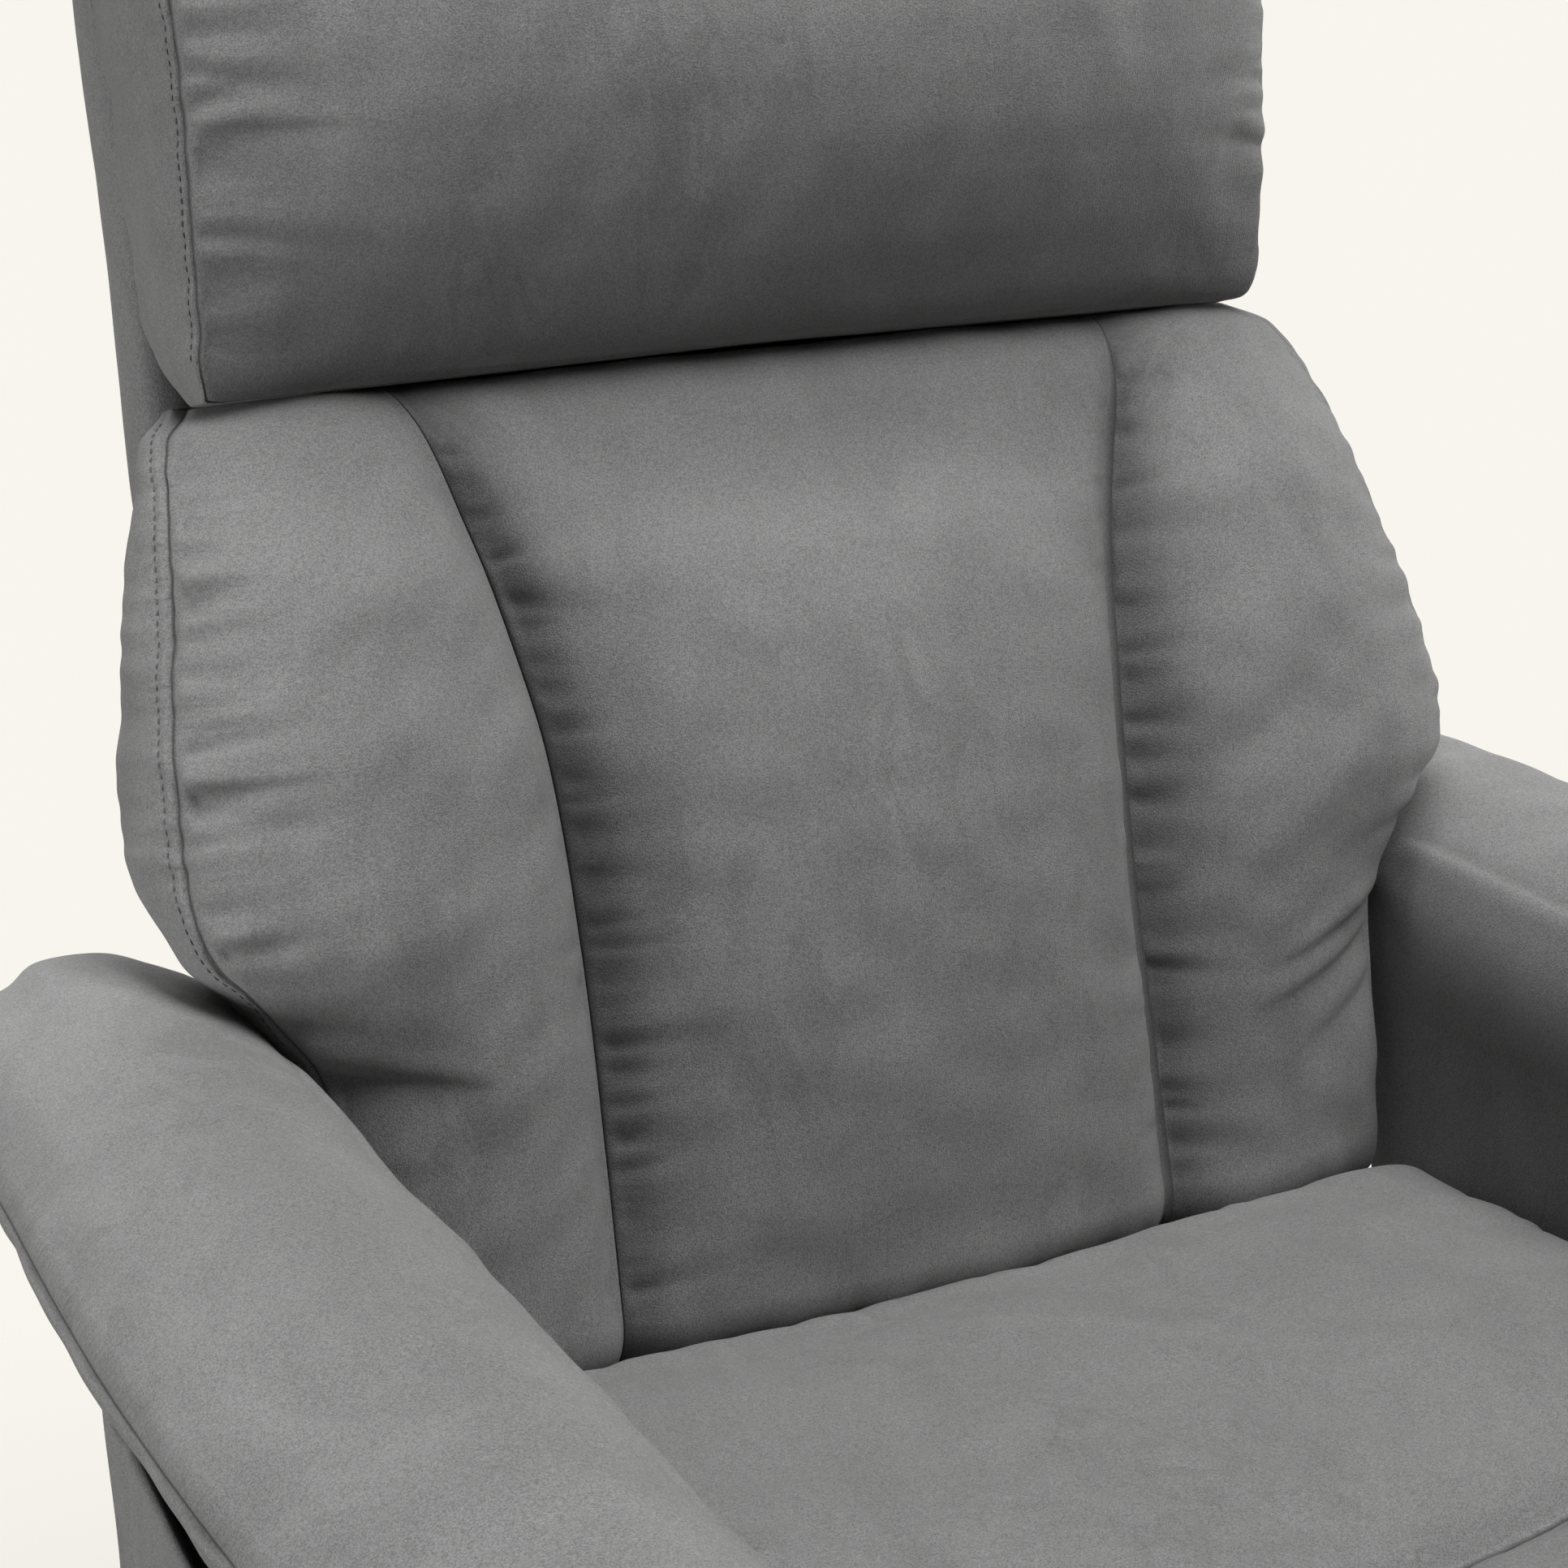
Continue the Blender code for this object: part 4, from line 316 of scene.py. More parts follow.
def puckers(along, away, seed, span, pitch, reach, depth, width=0.0040, lean=0.22):
    """Gathers that leave a seam: soft grooves square to it at uneven steps. Each widens and fades with distance."""
    rng = np.random.default_rng(seed)
    made = np.zeros(np.broadcast(along, away).shape)
    for place in np.arange(span[0] + 0.5 * pitch, span[1], pitch):
        place = place + rng.normal(0.0, 0.28 * pitch)
        far = reach * rng.uniform(0.45, 1.25)
        deep = depth * rng.uniform(0.25, 1.0)
        wide = width * rng.uniform(0.75, 1.5) * (1 + 0.8 * away / far)
        off = (along - place - rng.normal(0.0, lean) * away) / wide
        made -= deep * (bell(off, 1.0) - 0.35 * bell(off - 2.2, 1.0)) * bell(away, far)
    return made


def fold(a, b, start, end, width, depth):
    """A crease from a seam to a point of the surface: a groove that is steep above and easy below, under a raised lip.
    It is deepest near the seam and runs out to nothing, ever narrower."""
    run = np.array(end, float) - np.array(start, float)
    length = np.hypot(*run)
    run = run / length
    t = ((a - start[0]) * run[0] + (b - start[1]) * run[1]) / length
    near = np.clip(t, 0.0, 1.0)
    off = np.sign(run[0]) * ((b - start[1]) * run[0] - (a - start[0]) * run[1]) / (width * (1 - 0.45 * near))
    fade = ease((t + 0.1) / 0.2) * (1 - near) ** 1.2
    return depth * fade * (0.4 * bell(off - 1.3, 0.9) - bell(off, np.where(off > 0, 0.55, 1.7)))


def ridge(away):
    """The turned-in edge beside a sewn seam: a raised welt, then the shallow line that its stitches pull."""
    return 0.0005 * bell(away - 0.0022, 0.0014) - 0.0003 * bell(away - STITCH_OFFSET, 0.0011)


def gathers(along, away, reach, strength, pitch=0.0042, lean=0.0):
    """Places for the cloth's fine gathers: run along the seam, distance from it, and how strong they are there."""
    fade = strength * bell(away, reach) * ease(away / 0.0015)
    along, away, fade = np.broadcast_arrays((along + lean * away) / pitch, away / 0.030, fade)
    return np.stack([along, away, fade], axis=-1)


def groove(away, width, depth):
    """The valley pulled by a sewn line: a bell curve of the distance from it."""
    return -depth * bell(away, width)


def leant(hinge, angle, x, y, z):
    """Places of a hinged part's own frame in the chair's: leant to the rear by an angle about its hinge."""
    x, y, z = np.broadcast_arrays(x, y, z)
    c, s = math.cos(angle), math.sin(angle)
    return np.stack([x, hinge[0] + y * c + z * s, hinge[1] - y * s + z * c], axis=-1)


def faces_of(rows, columns, capped):
    """Vertex numbers of a ring grid's faces: quads between rings, and the two ends as fans or as strips of quads."""
    r = np.arange(rows - 1)[:, None] * columns
    c = np.arange(columns)[None, :]
    after = (c + 1) % columns
    quads = np.stack([r + c, r + after, r + columns + after, r + columns + c], axis=-1).reshape(-1, 4)
    last = (rows - 1) * columns
    c, after = c[0], after[0]
    if capped == "strip":
        half = columns // 2
        k = np.arange(half - 1)
        low = np.stack([k + 1, k, columns - 1 - k, columns - 2 - k], axis=-1)
        high = np.stack([k, k + 1, columns - 2 - k, columns - 1 - k], axis=-1) + last
        return np.vstack([quads, low, high]), np.zeros((0, 3), int)
    pole = rows * columns
    low = np.stack([after, c, np.full(columns, pole)], axis=-1)
    high = np.stack([last + c, last + after, np.full(columns, pole + 1)], axis=-1)
    return quads, np.vstack([low, high])


def mesh_of(name, points, quads, triangles):
    """A mesh from arrays of places and of vertex numbers, turned so that its faces point outwards."""
    corners = points[np.vstack([quads[:, :3], quads[:, [0, 2, 3]], triangles])]
    if np.einsum("ij,ij->i", corners[:, 0], np.cross(corners[:, 1], corners[:, 2])).sum() < 0:
        quads, triangles = quads[:, ::-1], triangles[:, ::-1]
    mesh = bpy.data.meshes.new(name)
    mesh.vertices.add(len(points))
    mesh.vertices.foreach_set("co", points.astype(np.float32).ravel())
    loops = np.concatenate([quads.ravel(), triangles.ravel()])
    sizes = np.concatenate([np.full(len(quads), 4), np.full(len(triangles), 3)])
    mesh.loops.add(len(loops))
    mesh.loops.foreach_set("vertex_index", loops.astype(np.int32))
    mesh.polygons.add(len(sizes))
    mesh.polygons.foreach_set("loop_start", np.concatenate([[0], np.cumsum(sizes)[:-1]]).astype(np.int32))
    mesh.polygons.foreach_set("use_smooth", np.ones(len(sizes), bool))
    mesh.update(calc_edges=True)
    mesh.validate()
    return mesh


def with_poles(grid, capped):
    """The grid's places as one list, with the middle of each end ring added where the ends are fans."""
    points = grid.reshape(-1, 3)
    if capped == "strip":
        return points
    return np.vstack([points, grid[:1].mean(axis=1), grid[-1:].mean(axis=1)])


def placed(name, data):
    """A new object of the scene that holds the given mesh, lamp or camera."""
    obj = bpy.data.objects.new(name, data)
    bpy.context.scene.collection.objects.link(obj)
    return obj


def normals_of(grid):
    """Unit normals of a ring grid, from the cross product of its two directions, pointing away from its middle."""
    around = np.roll(grid, -1, axis=1) - np.roll(grid, 1, axis=1)
    along = np.gradient(grid, axis=0)
    made = np.cross(around, along)
    made /= np.maximum(np.linalg.norm(made, axis=-1, keepdims=True), 1e-12)
    outward = np.einsum("ijk,ijk->", made, grid - grid.mean(axis=(0, 1)))
    return made if outward > 0 else -made


class Pad:
    """One soft piece while it is made: its ring grid, how free its first columns are to swell, its relief, its fine
    gathers, and its dark: 1 on sewn lines and hidden walls, and less where shade is painted in."""

    def __init__(self, name, body, node, grid, free=None, capped="fan", fill=0.7, pressure=4.0):
        self.name, self.body, self.node = name, body, node
        self.grid, self.capped, self.fill, self.pressure = grid, capped, fill, pressure
        self.free, self.relief, self.sewn_and_shade = (np.zeros(grid.shape[:2]) for _ in range(3))
        if free is not None:
            self.free[:, :free.shape[1]] = free
        self.gather = np.zeros(grid.shape)
        self.stitches = []

    def stitch(self, first, away):
        """Notes a stitch line at its distance from a seam, as places between the columns that start at the first."""
        order = slice(None) if away[0, 0] < away[0, -1] else slice(None, None, -1)
        columns = np.arange(away.shape[1])[order]
        self.stitches.append(first + np.array([np.interp(STITCH_OFFSET, row[order], columns) for row in away]))

    def gusset(self, first, away, z, wave, seed, span, reach, above):
        """Sews the columns from the first on as a gusset: welt and stitches beside its seam, gathers and soft waves."""
        cut = slice(first, first + away.shape[1])
        self.relief[:, cut] = (groove(away, *GUSSET_PULL) + ridge(away) * above
                               + 0.0006 * lumps(wave, z + 0 * away, seed, 0.05)
                               + puckers(z + 0 * away, away, seed + 1, span, 0.014, reach, 0.0006, 0.0024))
        self.gather[:, cut] = gathers(z, away, 0.010, 1.8 * above)
        self.sewn_and_shade[:, cut] = sewn_line(away)
        self.stitch(first, away)

    def stitch_line(self, index, rows, values):
        """The values along a stitch line, between the columns on either side of it."""
        place = self.stitches[index][rows]
        column = np.floor(place).astype(int)
        part = (place - column)[:, None]
        row = np.arange(len(self.grid))[rows]
        return values[row, column] * (1 - part) + values[row, np.minimum(column + 1, values.shape[1] - 1)] * part


def thinned(places, least):
    """Positions along a run that keep at least a given gap, with both ends kept."""
    run = np.concatenate([[0.0], np.cumsum(np.linalg.norm(np.diff(places, axis=0), axis=-1))])
    wanted = np.linspace(0.0, run[-1], max(6, int(run[-1] / least)))
    return np.unique(np.searchsorted(run, wanted - 1e-9).clip(0, len(run) - 1))


def plump(pads):
    """Swells the pads with Blender's cloth: each on a thinned copy of its grid, held where it isn't free. How far each
    point moved, up to a cap, is carried back to the full grid by cubics along both of its directions."""
    scene = bpy.context.scene
    jobs = []
    for pad in pads:
        rows = thinned(pad.grid[:, pad.free.any(axis=0)].mean(axis=1), SIM_SPACING)
        columns = thinned(pad.grid[len(pad.grid) // 2], SIM_SPACING)
        coarse = pad.grid[rows][:, columns]
        quads, fans = faces_of(len(rows), len(columns), "fan")
        obj = placed("sim_" + pad.name, mesh_of("sim", with_poles(coarse, "fan"), quads, fans))
        held = np.concatenate([1.0 - pad.free[rows][:, columns].ravel(), [1.0, 1.0]])
        group = obj.vertex_groups.new(name="held")
        for weight in np.unique(held):
            group.add(np.flatnonzero(held == weight).tolist(), float(weight), "REPLACE")
        cloth = obj.modifiers.new("cloth", "CLOTH")
        for key, value in CLOTH.items():
            setattr(cloth.settings, key, value)
        cloth.settings.uniform_pressure_force = pad.pressure
        cloth.settings.effector_weights.gravity = 0.0
        cloth.point_cache.frame_end = SIM_FRAMES
        jobs.append((pad, obj, rows, columns, coarse))
    for step in range(1, SIM_FRAMES + 1):
        scene.frame_set(step)
    seen = bpy.context.evaluated_depsgraph_get()
    for pad, obj, rows, columns, coarse in jobs:
        swollen = obj.evaluated_get(seen)
        places = np.empty(len(obj.data.vertices) * 3, np.float32)
        swollen.data.vertices.foreach_get("co", places)
        moved = places.reshape(-1, 3)[:-2].reshape(coarse.shape) - coarse
        far = np.maximum(np.linalg.norm(moved, axis=-1, keepdims=True), 1e-9)
        moved = moved * SWELL_CAP * np.tanh(far / SWELL_CAP) / far
        count = pad.grid.shape[1]
        ring = np.concatenate([columns[-2:] - count, columns, columns[:2] + count])
        looped = np.concatenate([moved[:, -2:], moved, moved[:, :2]], axis=1)
        fine = curve(rows, looped, np.arange(len(pad.grid)))
        fine = np.moveaxis(curve(ring, np.moveaxis(fine, 1, 0), np.arange(count)), 0, 1)
        pad.grid = pad.grid + fine * pad.free[..., None]
    for _, obj, *_ in jobs:
        mesh = obj.data
        bpy.data.objects.remove(obj)
        bpy.data.meshes.remove(mesh)
    scene.frame_set(1)


def sew(pad, material):
    """Lays the relief along the normals, makes the mesh with its sewn lines, painted shade and gathers, and ties it to
    its body.
    """
    pad.grid = pad.grid + normals_of(pad.grid) * pad.relief[..., None]
    quads, fans = faces_of(*pad.grid.shape[:2], pad.capped)
    points = with_poles(pad.grid, pad.capped)
    mesh = mesh_of(pad.name, points, quads, fans)
    for key, kind, field, values in (("sewn_and_shade", "FLOAT", "value", np.clip(pad.sewn_and_shade, 0.0, 1.2)[..., None]),
                                     ("gather", "FLOAT_VECTOR", "vector", pad.gather)):
        flat = np.zeros((len(points), values.shape[-1]), np.float32)
        flat[:pad.sewn_and_shade.size] = values.reshape(pad.sewn_and_shade.size, -1)
        mesh.attributes.new(key, kind, "POINT").data.foreach_set(field, flat.ravel())
    mesh.materials.append(material)
    obj = placed(pad.name, mesh)
    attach(obj, pad.body)
    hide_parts(pad.node)


def ring_of(parts, z):
    """Rows of rings from parts that follow each other round: each part holds one array for each coordinate."""
    return [np.concatenate([np.broadcast_to(q, (len(z), np.shape(q)[-1])) for q in each], axis=1)
            for each in zip(*parts)]


def shell_half_width(z):
    """The outer back's half width: it flares above the arms and rounds off at its top."""
    flare = ease((z - SHELL_FLARE[0]) / (SHELL_FLARE[1] - SHELL_FLARE[0]))
    wide = SHELL_LOWER_HALF_WIDTH + (SHELL_UPPER_HALF_WIDTH - SHELL_LOWER_HALF_WIDTH) * flare
    near = np.clip((z - SHELL_TOP + SHELL_TOP_CORNER) / SHELL_TOP_CORNER, 0.0, 1.0)
    return wide - SHELL_TOP_CORNER * (1 - np.sqrt(1 - near * near))


def end_round(z, low, high, low_radius, high_radius, left):
    """How full a cushion is near its ends: 1 inside, falling along a quarter ellipse to what is left at the end."""
    near_low = np.clip(1 - (z - low) / low_radius, 0.0, 1.0)
    near_high = np.clip(1 - (high - z) / high_radius, 0.0, 1.0)
    fall = 1 - np.sqrt(np.clip(1 - near_low ** 2, 0.0, 1.0) * np.clip(1 - near_high ** 2, 0.0, 1.0))
    return 1 - (1 - left) * fall


def top_draw(z, low, high, left):
    """How much of a back cushion's bow is left above a height, where it draws back below the headrest."""
    return 1 - (1 - left) * ease((z - low) / (high - low))


def seam_valley(away, z):
    """The valley that the seams between the back cushions lie in: a bell curve of the distance, less near the top."""
    return 0.0075 * bell(away, 0.010) * ease((CUSHION_HIGH - z) / 0.06)


def seat_follow(x, z):
    """How far the back cushions' lower ends drop in the middle, and rise at the sides, to lie on the seat's rear."""
    return (0.006 + (SEAT_CROWN - SEAT_SIDE_RISE) * (x / SEAT_HALF_WIDTH) ** 2) * (1 - ease((z - CUSHION_LOW) / 0.09))


def cushion_rings(count, crowd):
    """A back cushion's rings: their heights, how full it is at each, and how deep the seams by the middle one lie."""
    z = (CUSHION_LOW + (CUSHION_HIGH - CUSHION_LOW) * spaced(count, crowd, True))[:, None]
    full = end_round(z, CUSHION_LOW, CUSHION_HIGH, CUSHION_END, CUSHION_END, CUSHION_END_LEFT)
    return z, full, CUSHION_REAR + (through(CENTRE_SEAM_DEPTH, z) - CUSHION_REAR) * full


def back_centre():
    """The middle back cushion: across, a flat-topped bow between the two seams; up, full with rounded ends."""
    z, full, seam = cushion_rings(300, 0.6)
    half = through(CENTRE_HALF_WIDTH, z) - SEAM_GAP
    c = (2 * spaced(170, 0.72) - 1)[None, :]
    arch = 0.34 + 0.76 * np.sin(np.pi * ((z - CUSHION_LOW) / (CUSHION_HIGH - CUSHION_LOW)) ** 0.95)
    bow = CENTRE_CROWN * full * top_draw(z, *CENTRE_DRAW) * arch
    front = (c * half, seam - bow * (1 - np.abs(c) ** 2.1) ** 0.62 + seam_valley((1 - np.abs(c)) * half, z))
    wall = even(8)
    right = (half + 0 * wall, seam + (CUSHION_REAR - seam) * wall)
    rear = (half * (1 - 2 * wall), CUSHION_REAR + 0 * half * wall)
    left = (-half + 0 * wall, CUSHION_REAR + (seam - CUSHION_REAR) * wall)
    x, y = ring_of([front, right, rear, left], z)
    count = c.shape[1]
    edge = np.minimum(1 - np.abs(c), 0.16) / 0.16
    free = ease(edge) * ease((z - CUSHION_LOW) / 0.05) * ease((CUSHION_HIGH - z) / 0.14)
    pad = Pad("back_centre_cover", "back", "back_centre_cushion",
              leant(BACK_HINGE, LEAN, x, y, z - seat_follow(x, z)), free, fill=0.75)
    xf, zf = x[:, :count], z + 0 * c
    from_left, from_right = (1 + c) * half, (1 - c) * half
    relief = 0.0007 * lumps(xf, zf, 11, 0.09) + 0.0004 * lumps(xf, zf, 12, 0.035)
    for along, away, row in zip((zf, zf, xf), (from_left, from_right, z - CUSHION_LOW), CENTRE_PUCKERS):
        relief += puckers(along, away, *row)
    near = np.minimum(from_left, from_right)
    pad.relief[:, :count] = relief * ease(near / SEAM_FADE)
    pad.gather[:, :count] = gathers(zf, near, 0.020, 0.45)
    # Painted shade: darker beside the left seam's valley, faintly beside the right one, and towards the top under the
    # headrest's shadow.
    painted_shade = np.maximum(0.40 * bell(from_left, 0.020), 0.15 * bell(from_right, 0.008)) + 0.16 * ease((z - 0.40) / 0.07)
    pad.sewn_and_shade[:, :count] = np.maximum(sewn_line(near), painted_shade)
    # Painted shade: the walls and rear, seen only in the seam gaps, are painted near-black.
    pad.sewn_and_shade[:, count:] = 1.0
    return pad


def back_wing(side, sign):
    """A side back cushion: a bow from the middle seam to the outer one, then a swelled gusset back to the shell."""
    z, full, seam_in = cushion_rings(340, 0.55)
    inner = through(CENTRE_HALF_WIDTH, z) + SEAM_GAP
    outer, depth = through(WING_SEAM, z)
    outer = outer + 0.0004 * lumps(z, 0 * z, 27 + sign, 0.016) * ease((z - 0.24) / 0.03)
    behind = through(WING_SEAM, z - WING_GUSSET_LIFT)[0]
    rear_x = np.minimum(outer, np.where(z < 0.330, behind, outer)) - 0.003
    seam_out = np.minimum(CUSHION_REAR + (depth - CUSHION_REAR) * (0.45 + 0.55 * full), -TUCK)
    s = spaced(150, 0.72)[None, :]
    arch = 0.50 + 0.50 * ease((z - 0.08) / 0.17) + 0.2 * ease((z - 0.22) / 0.06) - 0.1 * ease((z - 0.33) / 0.1)
    bow = WING_CROWN * full * top_draw(z, *WING_DRAW) * arch
    front = (inner + (outer - inner) * s, seam_in + (seam_out - seam_in) * s - bow * np.sin(np.pi * s ** 1.15) ** 0.64
             + seam_valley(s * (outer - inner), z))
    g = even(60) ** 1.4
    swell = WING_GUSSET_SWELL * ease((z - 0.235) / 0.04) * (1 - 0.35 * ease((z - 0.40) / 0.07))
    swell = np.maximum(swell, WING_SIDE_SWELL * ease((z - 0.11) / 0.06)) + 0.006 * bell(z - 0.242, 0.014)
    gusset = (outer + (rear_x - outer) * g + swell * np.sin(np.pi * g ** 0.8), seam_out * (1 - g))
    tucked = shell_half_width(z) - SHELL_WALL - TUCK
    w = even(6)
    turn_in = (rear_x + (tucked - rear_x) * w, 0.0 * w * z)
    side_in = (tucked - WING_SLANT * w, CUSHION_REAR * w + 0 * z)
    rear = (tucked - WING_SLANT + (inner - tucked + WING_SLANT) * w, CUSHION_REAR + 0 * z * w)
    wall = (inner + 0 * w, CUSHION_REAR + (seam_in - CUSHION_REAR) * w)
    x, y = ring_of([front, gusset, turn_in, side_in, rear, wall], z)
    count = s.shape[1]
    edge = np.minimum(s, 1 - s) / 0.14
    free = ease(edge) * ease((z - CUSHION_LOW) / 0.05) * ease((CUSHION_HIGH - z) / 0.13)
    pad = Pad(f"back_wing_cover_{side}", "back", f"back_wing_{side}",
              leant(BACK_HINGE, LEAN, sign * x, y, z - seat_follow(x, z)), free, fill=0.75)
    xf, zf = x[:, :count], z + 0 * s
    width = outer - inner
    from_in, from_out = s * width, (1 - s) * width
    relief = 0.0008 * lumps(xf, zf, 21 + sign, 0.08) + 0.0004 * lumps(xf, zf, 24 + sign, 0.03)
    for away, row in zip((from_out, from_in), WING_PUCKERS[sign]):
        relief += puckers(zf, away, *row)
    for row in WING_FOLDS[sign]:
        relief += fold(xf, zf, *row)
    relief += puckers(xf, z - CUSHION_LOW, 36 + sign, (0.14, 0.24), 0.02, 0.02, 0.0011)
    near = np.minimum(from_in, from_out)
    pad.relief[:, :count] = relief * ease(near / SEAM_FADE) + groove(from_out, *SEAM_PULL)
    pad.gather[:, :count] = gathers(zf, from_out, 0.024, ease((z - 0.22) / 0.03), lean=0.1)
    from_seam = g * np.hypot(rear_x - outer, seam_out)
    pad.gusset(count, from_seam, z, g * 0.08, 41 + sign, (0.23, 0.47), 0.016, ease((z - 0.20) / 0.03))
    # Painted shade: darker beside the inner seam, more on the right wing, and towards the top under the headrest's
    # shadow.
    painted_shade = (0.28 + 0.14 * sign) * bell(from_in, 0.014 + 0.006 * sign) + 0.12 * ease((z - 0.42) / 0.06)
    pad.sewn_and_shade[:, :count] = np.maximum(sewn_line(near), painted_shade)
    # Painted shade: the hidden side, rear and inner walls are painted near-black, as shade in the gaps.
    pad.sewn_and_shade[:, count + g.shape[1] + w.shape[1]:] = 1.0
    return pad


def gusset_swell(g, flare):
    """The headrest's side beyond its seam: it opens towards the shell's lip, with a slight bow between."""
    return flare * (HEADREST_GUSSET_FLARE * g ** 0.8 + 0.004 * np.sin(np.pi * g))


def headrest():
    """The headrest pillow: across, a flat-topped bow between its side seams; up, it follows them and turns under."""
    z = (HEADREST_LOW + (HEADREST_HIGH - HEADREST_LOW) * spaced(290, 0.88, True))[:, None]
    tall = (z - HEADREST_LOW) / (HEADREST_HIGH - HEADREST_LOW)
    half = HEADREST_HALF_WIDTH - 0.006 * (1 - end_round(z, HEADREST_LOW, HEADREST_HIGH, 0.001, 0.030, 0.0))
    half = half - 0.005 * (1 - end_round(z, HEADREST_LOW, HEADREST_HIGH, 0.012, 0.001, 0.0))
    half = half + 0.0005 * lumps(z, 0 * z, 50, 0.017)
    seam = through(HEADREST_SEAM, z) + 0.003
    c = (2 * spaced(220, 0.68) - 1)[None, :]
    swell = HEADREST_CROWN * np.sin(np.pi * (0.05 + 0.91 * tall)) ** 0.70
    front = (c * half, seam - swell * (1 - np.abs(c) ** 2.7) ** 0.60)
    t = even(46)
    g, flip = t ** 1.4, (1 - t) ** 1.4
    rear_y = np.maximum(through(HEADREST_REAR, z), seam + 0.001)
    inside = CUSHION_REAR - 0.008 + rear_y
    flare = ease(tall / 0.12) * ease((1 - tall) / 0.12)
    right = (half + gusset_swell(g, flare), seam + (rear_y - seam) * g)
    w = even(8)
    rear_edge = half + HEADREST_GUSSET_FLARE * flare
    rear_half = half - 0.032
    shoulder = rear_edge + (rear_half - rear_edge) * w
    back_in = (shoulder, rear_y + (inside - rear_y) * ease((w - 0.5) * 2))
    rear = (rear_half * (1 - 2 * w), inside + 0 * w)
    back_out = (-(rear_half + (rear_edge - rear_half) * w), inside + (rear_y - inside) * ease(w * 2))
    left = (-(half + gusset_swell(flip, flare)), seam + (rear_y - seam) * flip)
    x, y = ring_of([front, right, back_in, rear, back_out, left], z)
    count = c.shape[1]
    left_start = x.shape[1] - g.shape[1]
    edge = np.minimum(1 - np.abs(c), 0.12) / 0.12
    free = ease(edge) * ease(tall / 0.12) * ease((1 - tall) / 0.12)
    hang = 0.004 * ease((np.abs(x) / half - 0.70) / 0.30) * (1 - ease(tall / 0.25))
    pad = Pad("headrest_cover", "back", "headrest_cushion", leant(BACK_HINGE, LEAN, x, y, z - hang), free, fill=0.8)
    xf, zf = x[:, :count], z + 0 * c
    from_left, from_right = (1 + c) * half, (1 - c) * half
    relief = 0.0009 * lumps(xf, zf, 51, 0.10) + 0.0004 * lumps(xf, zf, 52, 0.035)
    for away, row in zip((from_left, from_right), HEADREST_PUCKERS):
        relief += puckers(zf, away, *row)
    for row in HEADREST_FOLDS:
        relief += fold(xf, zf, *row)
    near = np.minimum(from_left, from_right)
    pad.relief[:, :count] = relief * ease(near / SEAM_FADE) * ease(tall / 0.06) + groove(near, *SEAM_PULL)
    pad.gather[:, :count] = gathers(zf, near, 0.026, ease(tall / 0.08), lean=0.1)
    run = rear_y - seam
    for first, away, seed in ((count, g * run, 55), (left_start, flip * run, 57)):
        pad.gusset(first, away, z, away, seed, (0.50, 0.74), 0.018, ease(tall / 0.08))
    # Painted shade: the headrest is darker towards its bottom, which faces down.
    painted_shade = 0.48 * (1 - ease(tall / 0.38))
    pad.sewn_and_shade[:, :count] = np.maximum(sewn_line(near), painted_shade)
    return pad


